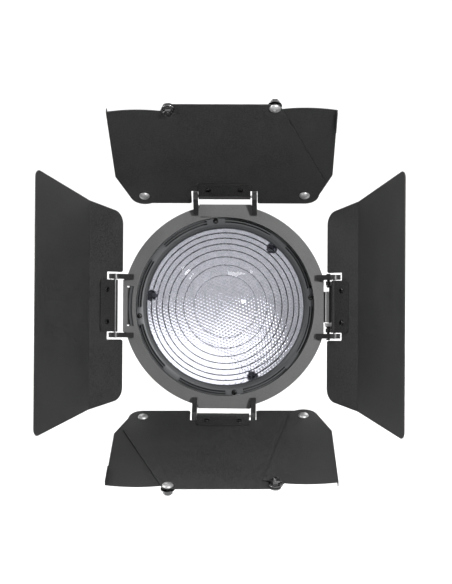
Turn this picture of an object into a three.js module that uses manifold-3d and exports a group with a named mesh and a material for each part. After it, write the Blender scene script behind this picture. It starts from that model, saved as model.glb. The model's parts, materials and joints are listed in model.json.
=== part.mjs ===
// Optical head of a fresnel spotlight: a focusing fresnel lens in a round barrel, with a rotating
// four-leaf barn door held on its front rim. All sizes are in millimetres.
//
// Row frame: +Z is up, +X is to the right of someone who faces the light, and the light shines
// towards -Y. The origin is the centre of the rear mounting face.
//
// Everything is drawn in a face frame, as seen by someone who faces the light: x right, y up and
// z forward, towards the viewer. One turn of the outer group brings it into the row frame.
import * as THREE from "three";
import { mergeVertices } from "three/addons/utils/BufferGeometryUtils.js";
import Module from "manifold-3d";

const wasm = await Module();
wasm.setup();

// ---------- driving dimensions ----------
const GAP = 0.3; // air left between pieces that touch
const ROUND_SIDES = 36; // facets of the large round parts
const SMALL_SIDES = 10; // facets of pins, holes and screws
const WELD = 1e-4;

// Distances forward of the rear mounting face.
const RING_FRONT = 190; // front face of the barn-door ring
const SHELL_REAR = 4.3;
const BARREL_REAR = 33.8;
const FOCUS_REAR = 86;
const FOCUS_FRONT = 168;
const GRIP_REAR = 94;
const GRIP_FRONT = 160;
const MARK_REAR = 75;

// Barn-door ring and the rim that it turns on. Depths are measured from the ring's front face.
const RING_RADIUS = 107.4;
const RING_HOLE = 93.8;
const RING_THICK = 3;
const TAB_HALF = 27.4; // half-width of the four flats
const TAB_REACH = 107.2;
const LATCH_TAB_REACH = 103.7;
const RIM_RADIUS = 101.6;
const RIM_FRONT = -3.3;
const RIM_BACK = -6.3;
const COLLAR_RADIUS = 98.6;
const COLLAR_BACK = -12;
const HOOK_REACH = 99; // how far in the hook and the latch claw reach behind the rim
const HOOK_FRONT = -6.9;
const HOOK_THICK = 1.2;
const WINDOW = { half: 21, inner: 97.8, outer: 103 }; // opening in the left tab
const TONGUE = { half: 19.6, inner: 102.2, outer: 103.6 }; // bent back from the window's outer edge

// Barrel, bezel and lens.
const BARREL_RADIUS = 97;
const BARREL_BORE = 94;
const FLANGE_BORE = 90.2;
const FLANGE_THICK = 4;
const SHELL_RADIUS = 100;
const SHELL_WALL = 2.6;
const SHELL_SLOTS = 16;
const PLATE_RADIUS = 74; // rear plate
const PLATE_BORE = 49;
const PLATE_THICK = 4;
const BEZEL_RADIUS = 93.4;
const BEZEL_BORE = 83;
const BEZEL_FRONT = -9;
const BEZEL_BACK = -12.7;
const BEZEL_FLAT = 86.5; // the bezel slopes down to the lens inside this radius
const BEZEL_SCREW_CIRCLE = 90.6;
const BEZEL_SCREW_TURN = 6.5; // the bezel's screws stand this far round from the leaves' axes
const BEZEL_SLOT = { inner: 88.5, outer: 92.5, from: 6, to: 38.5 };
const LENS_RADIUS = 87.5;
const LENS_VALLEY = -15.2;
const LENS_STEP = 4.3; // height of each prism ring
const LENS_RINGS = [32.9, 43.6, 52.2, 59.5, 66, 72, 77.5, 82.6]; // prism ring edges
const LENS_DOME = [[16.1, 4.5], [0, 5.9]]; // radius and rise above the valleys
const LENS_EDGE_FRONT = -16.2;
const LENS_BACK = -21.2;

// Focusing: the carriage runs back by FOCUS_TRAVEL as the focus ring turns by FOCUS_TURN.
const FOCUS_TURN = 100;
const FOCUS_TRAVEL = 60;
const FOLLOWER_DEPTH = -34;
const FOLLOWER_RADIUS = 2.5;
const FOLLOWER_ANGLES = [112, 232, 352];
const CLIP_ANGLES = [52, 171.5, 291.5];

// Hinges of the leaves: the pin's place outward of the axis and forward of the ring's front face.
const PIN_OUT = 114.5;
const PIN_FORWARD = 14;
const PIN_RADIUS = 1.3;
const PIN_HALF = 33.5;
const KNUCKLE_RADIUS = 3;
const KNUCKLE_BORE = 1.65;
const EAR_INNER = 28.1;
const EAR_OUTER = 33.2;
const EAR_HOLE = PIN_RADIUS + 0.4;
const EAR_BOSS = 6.5;
const EAR_FOOT = 95.5; // the ears' inner end, outward of the axis
const EAR_FOOT_RISE = 5; // thickness of the foot there
const EAR_WRAP = 103.6; // the ears reach behind the ring's face outside this
const EAR_BACK = -6;
const EAR_EDGE = 106.4;
const HINGE_HALF = 27.15;
const HINGE_LENGTH = 22.5;
const HINGE_BASE = 0.9;
const HINGE_THICK = 1.2;

// Latch of the barn-door ring, on the right.
const LATCH_OUT = 108.6;
const LATCH_FORWARD = 2;
const LATCH_HOLE = 1.9;
const LATCH_SCREW = 1.5;
const LEVER_HALF = 26.8;
const PAD_HALF = 16.2;
const LUG_WIDTH = 4.4;

// Leaves, drawn along s (away from the pin), w (across) and o (towards the viewer's side).
const LEAF_THICK = 1.2;
const LEAF_INNER = -11.1;
const WIDE_NOTCH = { half: 34.4, depth: 10 };
const SIDE_NOTCH = { half: 35.3, depth: 11.8 };
const NOTCH_CORNER = 2.5;
const TONGUE_HALF = 26.5;
const TONGUE_START = 4.5;
const LEAF_OUTER = 149.6;
const LEAF_TIP_HALF = 57;
const SHOULDER = { w: 103.1, s: 29 };
const RIVET = { w: 83.4, s: 3.76 };
const RIVET_HOLE = 2.4;
const CORNER_RADIUS = 14.9;
const FLAP_RADIUS = 139.2;
const FLAP_INNER_ANGLE = 108;
const FLAP_OUTER_ANGLE = 77.1;
const FLAP_CORNER = { w: 111.8, s: 35.6 };
const FLAP_THICK = 1;
const FLAP_OFFSET = 1.5; // from the leaf's middle plane to the flap's
const LIP_LENGTH = 30;
const LIP_REACH = 5;
const STOP = { w: 52.6, s: 144.9 };
const STOP_HOLE = 1.9;
const WASHER_RADIUS = 7;
const SIDE_LEAF_OUTER = 148.2;
const SIDE_LEAF_FOLD = 37.6;
const SIDE_LEAF_BEND = 18;
const SIDE_HALF_AT_INNER = 97.3;
const SIDE_HALF_AT_OUTER = 132.5;

// Each leaf: turn round the axis, opening angle from flat against the ring's plane, side play taken
// up along the pin, and turn of the sheet on its hinge plate.
const SIDES = {
  top: { turn: 0, opening: 57.1, play: -0.6, skew: 0 },
  left: { turn: 90, opening: 48.9, play: 0, skew: 0 },
  bottom: { turn: 180, opening: 63.9, play: 0.6, skew: 1 },
  right: { turn: 270, opening: 50.2, play: 0, skew: 0 },
};

// ---------- materials ----------
function finish(color, roughness, metalness) {
  return new THREE.MeshStandardMaterial({ color, roughness, metalness });
}

const FINISH = {
  housing: finish(0x2c2d2e, 0.5, 0.3),
  trim: finish(0x55585a, 0.45, 0.3),
  ring: finish(0x6b6b6b, 0.5, 0.4),
  hinge: finish(0x404040, 0.5, 0.4),
  leaf: finish(0x343434, 0.7, 0.2),
  rubber: finish(0x1c1c1c, 0.85, 0),
  glass: finish(0xdfe6ec, 0.05, 0),
  steel: finish(0xc4c4c4, 0.3, 1),
  screw: finish(0x1e1e1e, 0.4, 0.6),
  mark: finish(0xe6e6e6, 0.6, 0),
};

// ---------- solids ----------
const radians = THREE.MathUtils.degToRad;
const degrees = THREE.MathUtils.radToDeg;

// Merges shared corners, drops empty triangles and turns every face outward.
function weld(geometry) {
  const bare = new THREE.BufferGeometry();
  bare.setAttribute("position", geometry.getAttribute("position").clone());
  if (geometry.index) {
    bare.setIndex(geometry.index.clone());
  }
  const welded = mergeVertices(bare, WELD);
  const corner = [new THREE.Vector3(), new THREE.Vector3(), new THREE.Vector3()];
  const position = welded.getAttribute("position");
  const indices = welded.index.array;
  const kept = [];
  let volume = 0;
  for (let i = 0; i < indices.length; i += 3) {
    const [a, b, c] = [indices[i], indices[i + 1], indices[i + 2]];
    if (a === b || b === c || c === a) {
      continue;
    }
    kept.push(a, b, c);
    corner[0].fromBufferAttribute(position, a);
    corner[1].fromBufferAttribute(position, b);
    corner[2].fromBufferAttribute(position, c);
    volume += corner[0].dot(corner[1].cross(corner[2]));
  }
  welded.setIndex(volume < 0 ? kept.reverse() : kept);
  return welded;
}

function toSolid(geometry) {
  const welded = weld(geometry);
  return new wasm.Manifold(
    new wasm.Mesh({
      numProp: 3,
      vertProperties: new Float32Array(welded.getAttribute("position").array),
      triVerts: new Uint32Array(welded.index.array),
    }),
  );
}

function toGeometry(solid) {
  const mesh = solid.getMesh();
  const geometry = new THREE.BufferGeometry();
  geometry.setAttribute("position", new THREE.BufferAttribute(mesh.vertProperties, 3));
  geometry.setIndex(new THREE.BufferAttribute(mesh.triVerts, 1));
  return geometry;
}

function join(first, ...others) {
  let solid = toSolid(first);
  for (const other of others) {
    solid = solid.add(toSolid(other));
  }
  return toGeometry(solid);
}

function cut(base, ...cutters) {
  let solid = toSolid(base);
  for (const cutter of cutters) {
    solid = solid.subtract(toSolid(cutter));
  }
  return toGeometry(solid);
}

// The point of a circle at an angle in degrees.
function onCircle(x, y, radius, angle) {
  return [x + radius * Math.cos(radians(angle)), y + radius * Math.sin(radians(angle))];
}

// Points on an arc, both ends included.
function arc(x, y, radius, fromDegrees, toDegrees, steps) {
  const points = [];
  for (let k = 0; k <= steps; k += 1) {
    points.push(onCircle(x, y, radius, fromDegrees + ((toDegrees - fromDegrees) * k) / steps));
  }
  return points;
}

function circle(x, y, radius, sides = SMALL_SIDES) {
  return arc(x, y, radius, 0, 360, sides).slice(0, -1);
}

// Closed outline through corners given as [x, y] or, where a corner is round, [x, y, radius].
function rounded(corners, steps = 4) {
  const points = [];
  corners.forEach(([x, y, radius], i) => {
    if (!radius) {
      points.push([x, y]);
      return;
    }
    const here = new THREE.Vector2(x, y);
    const towards = (other) => new THREE.Vector2(other[0], other[1]).sub(here).normalize();
    const before = towards(corners.at(i - 1));
    const after = towards(corners[(i + 1) % corners.length]);
    const half = Math.acos(before.dot(after)) / 2;
    const inward = before.clone().add(after).setLength(radius / Math.sin(half));
    const centre = here.clone().add(inward);
    const start = before.multiplyScalar(radius / Math.tan(half)).sub(inward);
    const end = after.multiplyScalar(radius / Math.tan(half)).sub(inward);
    const sweep = degrees(Math.PI - 2 * half) * Math.sign(start.cross(end));
    const from = degrees(start.angle());
    points.push(...arc(centre.x, centre.y, radius, from, from + sweep, steps));
  });
  return points;
}

function shapeOf(points, holes = []) {
  const corners = (outline) => outline.map(([x, y]) => new THREE.Vector2(x, y));
  const shape = new THREE.Shape(corners(points));
  shape.holes = holes.map((hole) => new THREE.Path(corners(hole)));
  return shape;
}

// A flat plate from z = base, thick along z.
function plate(points, base, thickness, holes = []) {
  const options = { depth: thickness, bevelEnabled: false };
  return new THREE.ExtrudeGeometry(shapeOf(points, holes), options).translate(0, 0, base);
}

// A solid of revolution about z, from a profile of [radius, z] points.
function turned(profile, sides = ROUND_SIDES) {
  const points = profile.map(([radius, z]) => new THREE.Vector2(radius, z));
  return new THREE.LatheGeometry(points, sides).rotateX(Math.PI / 2);
}

// A ring about z with a closed profile.
function turnedRing(profile, sides = ROUND_SIDES) {
  return turned([...profile, profile[0]], sides);
}

function tube(inner, outer, rear, front) {
  return turnedRing([[inner, rear], [outer, rear], [outer, front], [inner, front]]);
}

function block(x, y, z) {
  const size = [x[1] - x[0], y[1] - y[0], z[1] - z[0]];
  const middle = [(x[0] + x[1]) / 2, (y[0] + y[1]) / 2, (z[0] + z[1]) / 2];
  return new THREE.BoxGeometry(...size).translate(...middle);
}

// Turns an outline's plane from x-y to y-z, so that the plate is thick along x.
const ACROSS = new THREE.Matrix4().makeBasis(
  new THREE.Vector3(0, 1, 0),
  new THREE.Vector3(0, 0, 1),
  new THREE.Vector3(1, 0, 0),
);

// In a side's frame (x across, y outward, z forward): an outline in the outward-forward plane,
// thick along x between two distances across.
function slab(points, from, to, holes = []) {
  return plate(points, from, to - from, holes).applyMatrix4(ACROSS);
}

// The same turned profile laid along x instead of z.
function turnedAcross(profile, sides = SMALL_SIDES) {
  return turned(profile, sides).rotateY(Math.PI / 2);
}

function addMesh(parent, name, geometry, material) {
  const mesh = new THREE.Mesh(weld(geometry), material);
  mesh.name = name;
  parent.add(mesh);
  return mesh;
}

function addGroup(parent, position = [0, 0, 0]) {
  const group = new THREE.Group();
  group.position.set(...position);
  parent.add(group);
  return group;
}

// ---------- lamp housing ----------
// Rear plate with three L-shaped claws that turn into a lamp head.
function bayonetPlate() {
  const claw = { inner: 56, outer: 64, post: 16, foot: 24, reach: 9, footThick: 3, root: 1 };
  const sector = (from, to, rear, front) =>
    plate(
      [...arc(0, 0, claw.outer, from, to, 4), ...arc(0, 0, claw.inner, to, from, 4)],
      rear,
      front - rear,
    );
  const parts = [tube(PLATE_BORE, PLATE_RADIUS, 0, PLATE_THICK)];
  const footFront = claw.footThick - claw.reach;
  for (const middle of [90, 210, 330]) {
    const from = middle - claw.post / 2;
    const postEnd = from + claw.post;
    parts.push(sector(from, postEnd, -claw.reach, claw.root));
    parts.push(sector(from, postEnd + claw.foot, -claw.reach, footFront));
  }
  return join(...parts);
}

// Cone between the rear plate and the barrel, with a ring of cooling slots.
function rearShell() {
  const shoulder = 33; // the cone ends here and a collar goes on round the barrel
  const collarEnd = 44;
  const coneRear = PLATE_RADIUS + 3;
  const collarBore = SHELL_RADIUS - SHELL_WALL;
  const stopBore = BARREL_BORE + 0.5; // step that the barrel's end sits on
  const body = turnedRing([
    [PLATE_BORE + 3, SHELL_REAR],
    [coneRear, SHELL_REAR],
    [SHELL_RADIUS, shoulder],
    [SHELL_RADIUS, collarEnd],
    [collarBore, collarEnd],
    [collarBore, BARREL_REAR - GAP],
    [stopBore, BARREL_REAR - GAP],
    [stopBore, shoulder - 2],
    [coneRear - 2.5, SHELL_REAR + 2.7],
    [PLATE_BORE + 3, SHELL_REAR + 2.7],
  ]);
  const slots = [];
  for (let k = 0; k < SHELL_SLOTS; k += 1) {
    const angle = (360 * (k + 0.5)) / SHELL_SLOTS;
    slots.push(block([80, 104], [-2.5, 2.5], [15, 25]).rotateZ(radians(angle)));
  }
  return cut(body, ...slots);
}

// Tube with a front flange for the bezel and three straight slots for the carriage's pins.
function barrel() {
  const front = RING_FRONT + RIM_BACK - 0.6;
  const flangeFront = RING_FRONT + BEZEL_BACK - GAP;
  const flangeBack = flangeFront - FLANGE_THICK;
  const body = turnedRing([
    [BARREL_BORE, BARREL_REAR],
    [BARREL_RADIUS, BARREL_REAR],
    [BARREL_RADIUS, front],
    [BARREL_BORE, front],
    [BARREL_BORE, flangeFront],
    [FLANGE_BORE, flangeFront],
    [FLANGE_BORE, flangeBack],
    [BARREL_BORE, flangeBack],
  ]);
  const half = FOLLOWER_RADIUS + 0.7;
  const overrun = half + 0.4;
  const slotFront = RING_FRONT + FOLLOWER_DEPTH + overrun;
  const slotRear = RING_FRONT + FOLLOWER_DEPTH - FOCUS_TRAVEL - overrun;
  const slots = FOLLOWER_ANGLES.map((angle) =>
    block([90, 100], [-half, half], [slotRear, slotFront]).rotateZ(radians(angle)),
  );
  return cut(body, ...slots, ...bezelScrewHoles());
}

// Rim that the barn-door ring turns on: a flat ring in front of the barrel, with a collar round it.
function frontRim() {
  const bore = BARREL_BORE + 0.2;
  return turnedRing([
    [bore, RING_FRONT + RIM_FRONT],
    [RIM_RADIUS, RING_FRONT + RIM_FRONT],
    [RIM_RADIUS, RING_FRONT + RIM_BACK],
    [COLLAR_RADIUS, RING_FRONT + RIM_BACK],
    [COLLAR_RADIUS, RING_FRONT + COLLAR_BACK],
    [BARREL_RADIUS + GAP, RING_FRONT + COLLAR_BACK],
    [BARREL_RADIUS + GAP, RING_FRONT + RIM_BACK - GAP],
    [bore, RING_FRONT + RIM_BACK - GAP],
  ]);
}

const BEZEL_SCREW_ANGLES = [0, 90, 180, 270].map((angle) => angle + BEZEL_SCREW_TURN);

function bezelScrewHoles() {
  return BEZEL_SCREW_ANGLES.map((angle) =>
    plate(circle(0, 0, 1.6, 8), RING_FRONT - 20, 15)
      .translate(BEZEL_SCREW_CIRCLE, 0, 0)
      .rotateZ(radians(angle)),
  );
}

// Retaining ring in front of the lens, with eight long arc slots between its four screws.
function lensBezel() {
  const body = turnedRing([
    [BEZEL_BORE, RING_FRONT + BEZEL_BACK],
    [BEZEL_RADIUS, RING_FRONT + BEZEL_BACK],
    [BEZEL_RADIUS, RING_FRONT + BEZEL_FRONT],
    [BEZEL_FLAT, RING_FRONT + BEZEL_FRONT],
    [BEZEL_BORE, RING_FRONT + BEZEL_BACK + 1],
  ]);
  const slots = [];
  for (const screw of BEZEL_SCREW_ANGLES) {
    for (const side of [-1, 1]) {
      const from = screw + side * BEZEL_SLOT.from;
      const to = screw + side * BEZEL_SLOT.to;
      const outline = [
        ...arc(0, 0, BEZEL_SLOT.outer, from, to, 5),
        ...arc(0, 0, BEZEL_SLOT.inner, to, from, 5),
      ];
      slots.push(plate(outline, RING_FRONT + BEZEL_BACK - 1, 6));
    }
  }
  return cut(body, ...slots, ...bezelScrewHoles());
}

// Pan-head screw with the underside of its head at z = 0.
function panScrew(headRadius, headHeight, shankRadius, shankLength) {
  const profile = [
    [0, -shankLength],
    [shankRadius, -shankLength],
    [shankRadius, 0],
    [headRadius, 0],
    [headRadius, headHeight * 0.5],
    [headRadius * 0.7, headHeight],
    [0, headHeight],
  ];
  return turned(profile, SMALL_SIDES);
}

function addHousing(parent) {
  const housing = addGroup(parent);
  addMesh(housing, "bayonet_plate", bayonetPlate(), FINISH.housing);
  addMesh(housing, "rear_shell", rearShell(), FINISH.housing);
  addMesh(housing, "barrel", barrel(), FINISH.housing);
  addMesh(housing, "front_rim", frontRim(), FINISH.trim);
  addMesh(housing, "lens_bezel", lensBezel(), FINISH.trim);
  BEZEL_SCREW_ANGLES.forEach((angle, k) => {
    const turn = addGroup(housing, [0, 0, RING_FRONT + BEZEL_FRONT + GAP]);
    turn.rotation.z = radians(angle);
    const screw = addMesh(turn, `bezel_screw_${k + 1}`, panScrew(2.7, 1.6, 1.25, 7), FINISH.screw);
    screw.position.x = BEZEL_SCREW_CIRCLE;
  });
  // Glide rings keep the focus ring in its place along the barrel.
  const glideRing = (rear) => tube(BARREL_RADIUS + 0.4, 100, rear, rear + 2.6);
  addMesh(housing, "glide_ring_front", glideRing(FOCUS_FRONT + 0.4), FINISH.trim);
  addMesh(housing, "glide_ring_rear", glideRing(FOCUS_REAR - 3), FINISH.trim);
  const markFoot = BARREL_RADIUS + GAP;
  const mark = block([-1.5, 1.5], [markFoot, markFoot + 1.4], [MARK_REAR, MARK_REAR + 7]);
  addMesh(housing, "index_mark", mark, FINISH.mark);
}

// ---------- focusing ----------
// A helical slot's cutter: rectangular sections that follow the carriage's pin as the ring turns.
function helicalSlot(startAngle) {
  const overrun = 4;
  const sections = 9;
  const slope = FOCUS_TRAVEL / (99.3 * radians(FOCUS_TURN));
  const half = (FOLLOWER_RADIUS + 0.6) * Math.hypot(1, slope);
  const vertices = [];
  const indices = [];
  for (let k = 0; k <= sections; k += 1) {
    const turn = -overrun + ((FOCUS_TURN + 2 * overrun) * k) / sections;
    const angle = radians(startAngle + turn);
    const z = RING_FRONT + FOLLOWER_DEPTH - (FOCUS_TRAVEL * turn) / FOCUS_TURN;
    for (const [radius, shift] of [[94, -half], [104, -half], [104, half], [94, half]]) {
      vertices.push(radius * Math.cos(angle), radius * Math.sin(angle), z + shift);
    }
    if (k > 0) {
      for (let side = 0; side < 4; side += 1) {
        const a = 4 * (k - 1) + side;
        const b = 4 * (k - 1) + ((side + 1) % 4);
        indices.push(a, b, b + 4, a, b + 4, a + 4);
      }
    }
  }
  const last = 4 * sections;
  indices.push(0, 2, 1, 0, 3, 2, last, last + 1, last + 2, last, last + 2, last + 3);
  const geometry = new THREE.BufferGeometry();
  geometry.setAttribute("position", new THREE.Float32BufferAttribute(vertices, 3));
  geometry.setIndex(indices);
  return geometry;
}

// Rubber sleeve with lengthwise ribs.
function ribbedSleeve() {
  const ribs = 40;
  const valley = 103.8;
  const crest = 105;
  const ribCorners = [[0, valley], [0.3, valley], [0.45, crest], [0.85, crest]];
  const outline = [];
  for (let k = 0; k < ribs; k += 1) {
    for (const [part, radius] of ribCorners) {
      outline.push(onCircle(0, 0, radius, ((k + part) * 360) / ribs));
    }
  }
  return plate(outline, GRIP_REAR, GRIP_FRONT - GRIP_REAR, [circle(0, 0, 101.6, ROUND_SIDES)]);
}

function addFocusRing(parent) {
  const ring = tube(BARREL_RADIUS + 0.6, 101, FOCUS_REAR, FOCUS_FRONT);
  addMesh(parent, "focus_ring", cut(ring, ...FOLLOWER_ANGLES.map(helicalSlot)), FINISH.trim);
  addMesh(parent, "focus_grip", ribbedSleeve(), FINISH.rubber);
}

// Glass lens: a smooth dome inside concentric prism rings, flat behind.
function fresnelLens() {
  const profile = [
    [0, LENS_BACK],
    [LENS_RADIUS, LENS_BACK],
    [LENS_RADIUS, LENS_EDGE_FRONT],
    [LENS_RINGS.at(-1), LENS_EDGE_FRONT],
  ];
  for (let k = LENS_RINGS.length - 1; k > 0; k -= 1) {
    profile.push([LENS_RINGS[k], LENS_VALLEY]);
    profile.push([LENS_RINGS[k - 1], LENS_VALLEY + LENS_STEP]);
  }
  profile.push([LENS_RINGS[0], LENS_VALLEY]);
  profile.push(...LENS_DOME.map(([radius, rise]) => [radius, LENS_VALLEY + rise]));
  return turned(profile);
}

// Sliding carriage: a lip in front of the lens's edge, a wall round it and a guide skirt.
function lensCarrier() {
  const lip = { bore: 83.8, front: -13.3, back: -14.8 };
  const nose = { radius: 89, back: -17.6 };
  const skirt = { radius: BARREL_BORE - 0.7, bore: 91, back: -40 };
  const seatRadius = LENS_RADIUS + 0.4;
  const seatBack = -26;
  return turnedRing([
    [lip.bore, lip.front],
    [nose.radius, lip.front],
    [nose.radius, nose.back],
    [skirt.radius, nose.back],
    [skirt.radius, skirt.back],
    [skirt.bore, skirt.back],
    [skirt.bore, seatBack],
    [seatRadius, seatBack],
    [seatRadius, lip.back],
    [lip.bore, lip.back],
  ]);
}

// Spring tongue behind the lens, with a post that presses on the glass.
function lensClip() {
  const halfWidth = 5.25;
  const root = 90.3;
  const tip = 69;
  const back = -27.6;
  const thickness = 1.3;
  const post = { out: 73, radius: 2.5, front: LENS_BACK - GAP };
  const round = arc(tip + halfWidth, 0, halfWidth, 90, 270, 6);
  const tongue = plate([[root, -halfWidth], [root, halfWidth], ...round], back, thickness);
  const postBack = back + thickness / 2;
  const postDisc = circle(post.out, 0, post.radius, 8);
  return join(tongue, plate(postDisc, postBack, post.front - postBack));
}

function addCarriage(parent) {
  const carriage = addGroup(parent, [0, 0, RING_FRONT]);
  addMesh(carriage, "fresnel_lens", fresnelLens(), FINISH.glass);
  addMesh(carriage, "lens_carrier", lensCarrier(), FINISH.housing);
  addMesh(carriage, "lens_gasket", tube(84.2, LENS_RADIUS, -15.9, -15.1), FINISH.rubber);
  CLIP_ANGLES.forEach((angle, k) => {
    const clip = addMesh(carriage, `lens_clip_${k + 1}`, lensClip(), FINISH.screw);
    clip.rotation.z = radians(angle);
  });
  FOLLOWER_ANGLES.forEach((angle, k) => {
    const turn = addGroup(carriage, [0, 0, FOLLOWER_DEPTH]);
    turn.rotation.z = radians(angle);
    const pin = turnedAcross([[0, 93.6], [FOLLOWER_RADIUS, 93.6], [FOLLOWER_RADIUS, 100.2], [0, 100.2]]);
    addMesh(turn, `cam_follower_${k + 1}`, pin, FINISH.steel);
  });
}

// ---------- barn-door ring ----------
// Flat ring with a straight-edged tab at each leaf. The left tab has a window whose tongue is bent
// back to hook behind the rim.
function barndoorRing() {
  const outline = [];
  const edge = Math.sqrt(RING_RADIUS ** 2 - TAB_HALF ** 2);
  const tabAngle = degrees(Math.atan2(TAB_HALF, edge));
  for (const { turn } of Object.values(SIDES)) {
    const reach = turn === SIDES.right.turn ? LATCH_TAB_REACH : TAB_REACH;
    const side = new THREE.Vector2();
    for (const across of [TAB_HALF, -TAB_HALF]) {
      side.set(across, reach).rotateAround(new THREE.Vector2(), radians(turn));
      outline.push([side.x, side.y]);
    }
    outline.push(...arc(0, 0, RING_RADIUS, turn + 90 + tabAngle, turn + 180 - tabAngle, 12));
  }
  const windowAngle = degrees(Math.asin(WINDOW.half / WINDOW.inner));
  const window = [
    ...arc(0, 0, WINDOW.inner, 180 - windowAngle, 180 + windowAngle, 8),
    [-WINDOW.outer, -WINDOW.half],
    [-WINDOW.outer, WINDOW.half],
  ];
  const holes = [circle(0, 0, RING_HOLE, ROUND_SIDES), window];
  const ring = plate(outline, -RING_THICK, RING_THICK, holes);
  const along = [-TONGUE.half, TONGUE.half];
  const hookBack = HOOK_FRONT - HOOK_THICK;
  const tongue = block([-TONGUE.outer, -TONGUE.inner], along, [hookBack, -0.5]);
  const hook = block([-TONGUE.outer, -HOOK_REACH], along, [hookBack, HOOK_FRONT]);
  return join(ring, tongue, hook);
}

// One hinge ear: a foot on the ring, a boss round the pin and, on the latch's side, a bulge round
// the latch's screw.
function earSolid(from, to, latchSide) {
  const plainEdge = [[EAR_EDGE, -RING_THICK]];
  const latchEdge = [[LATCH_OUT + 4.4, -1.5], [LATCH_OUT + 4.8, LATCH_FORWARD]];
  const outline = [
    [EAR_FOOT, GAP],
    [EAR_WRAP, GAP],
    [EAR_WRAP, EAR_BACK],
    [EAR_EDGE, EAR_BACK],
    ...(latchSide ? latchEdge : plainEdge),
    ...arc(PIN_OUT, PIN_FORWARD, EAR_BOSS, -25, 155, 10),
    [EAR_FOOT, EAR_FOOT_RISE],
  ];
  const holes = [circle(PIN_OUT, PIN_FORWARD, EAR_HOLE)];
  if (latchSide) {
    holes.push(circle(LATCH_OUT, LATCH_FORWARD, LATCH_HOLE));
  }
  return slab(outline, from, to, holes);
}

// Two ears joined by a bar that passes behind the ring's tab.
function hingeBracket() {
  const bar = block([-EAR_OUTER, EAR_OUTER], [EAR_WRAP, EAR_EDGE], [EAR_BACK, -RING_THICK - GAP]);
  const ears = [
    earSolid(-EAR_OUTER, -EAR_INNER, false),
    earSolid(EAR_INNER, EAR_OUTER, false),
  ];
  return join(bar, ...ears);
}

// Plain pin with chamfered ends.
function hingePin() {
  const chamfer = 0.4;
  const end = PIN_HALF - chamfer;
  return turnedAcross([
    [0, -PIN_HALF],
    [PIN_RADIUS - chamfer, -PIN_HALF],
    [PIN_RADIUS, -end],
    [PIN_RADIUS, end],
    [PIN_RADIUS - chamfer, PIN_HALF],
    [0, PIN_HALF],
  ]).translate(0, PIN_OUT, PIN_FORWARD);
}

// Screw through a right-hand ear that carries the latch, with its nut inside the ear.
function latchPivotScrew(side) {
  const nut = { radius: 2.6, from: 20.2, to: 21.8 };
  const head = { radius: 2.3, from: EAR_OUTER + GAP, to: EAR_OUTER + 1.6 };
  const profile = [
    [0, nut.from],
    [nut.radius, nut.from],
    [nut.radius, nut.to],
    [LATCH_SCREW, nut.to],
    [LATCH_SCREW, head.from],
    [head.radius, head.from],
    [head.radius, head.to],
    [0, head.to],
  ];
  const mirroredAlong = profile.map(([radius, along]) => [radius, side * along]);
  return turnedAcross(mirroredAlong).translate(0, LATCH_OUT, LATCH_FORWARD);
}

// Spring lever: a thumb pad, a back plate hung between the ears and a claw behind the rim.
function latchLever() {
  const padAlong = [-PAD_HALF, PAD_HALF];
  const pad = block(padAlong, [105.2, 109.2], [-12, 1]);
  const back = block([-LEVER_HALF, LEVER_HALF], [108.9, 112.4], [-14, -2]);
  const claw = block(padAlong, [HOOK_REACH, 109], [HOOK_FRONT - 1.7, HOOK_FRONT]);
  const parts = [pad, back, claw];
  const lug = [
    [LATCH_OUT - 2.2, -3],
    [LATCH_OUT + 2.3, -3],
    ...arc(LATCH_OUT, LATCH_FORWARD, 2.9, -20, 200, 8),
  ];
  const holes = [];
  for (const from of [-LEVER_HALF, LEVER_HALF - LUG_WIDTH]) {
    const to = from + LUG_WIDTH;
    parts.push(slab(lug, from, to));
    holes.push(slab(circle(LATCH_OUT, LATCH_FORWARD, LATCH_HOLE), from - 1, to + 1));
  }
  return cut(join(...parts), ...holes);
}

class Helix extends THREE.Curve {
  constructor(radius, pitch, turns) {
    super();
    this.radius = radius;
    this.pitch = pitch;
    this.turns = turns;
  }

  getPoint(t, target = new THREE.Vector3()) {
    const angle = 2 * Math.PI * this.turns * t;
    const along = this.pitch * this.turns * t;
    return target.set(along, this.radius * Math.cos(angle), this.radius * Math.sin(angle));
  }
}

// Torsion spring round the lower latch screw, beside its nut.
function latchSpring() {
  const coil = new Helix(3.6, 1.3, 3);
  const wire = shapeOf(circle(0, 0, 0.45, 5));
  const geometry = new THREE.ExtrudeGeometry(wire, { steps: 36, extrudePath: coil });
  return geometry.translate(16.9, LATCH_OUT, LATCH_FORWARD);
}

function addBarndoorFrame(parent, sides) {
  addMesh(parent, "barndoor_ring", barndoorRing(), FINISH.ring);
  for (const [name, group] of Object.entries(sides)) {
    if (name !== "right") {
      addMesh(group, `hinge_bracket_${name}`, hingeBracket(), FINISH.hinge);
    }
    addMesh(group, `hinge_pin_${name}`, hingePin(), FINISH.steel);
  }
  const right = sides.right;
  addMesh(right, "hinge_ear_right_upper", earSolid(-EAR_OUTER, -EAR_INNER, true), FINISH.hinge);
  addMesh(right, "hinge_ear_right_lower", earSolid(EAR_INNER, EAR_OUTER, true), FINISH.hinge);
  addMesh(right, "latch_pivot_screw_upper", latchPivotScrew(-1), FINISH.screw);
  addMesh(right, "latch_pivot_screw_lower", latchPivotScrew(1), FINISH.screw);
  addMesh(right, "latch_lever", latchLever(), FINISH.ring);
  addMesh(right, "latch_spring", latchSpring(), FINISH.steel);
}

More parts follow.
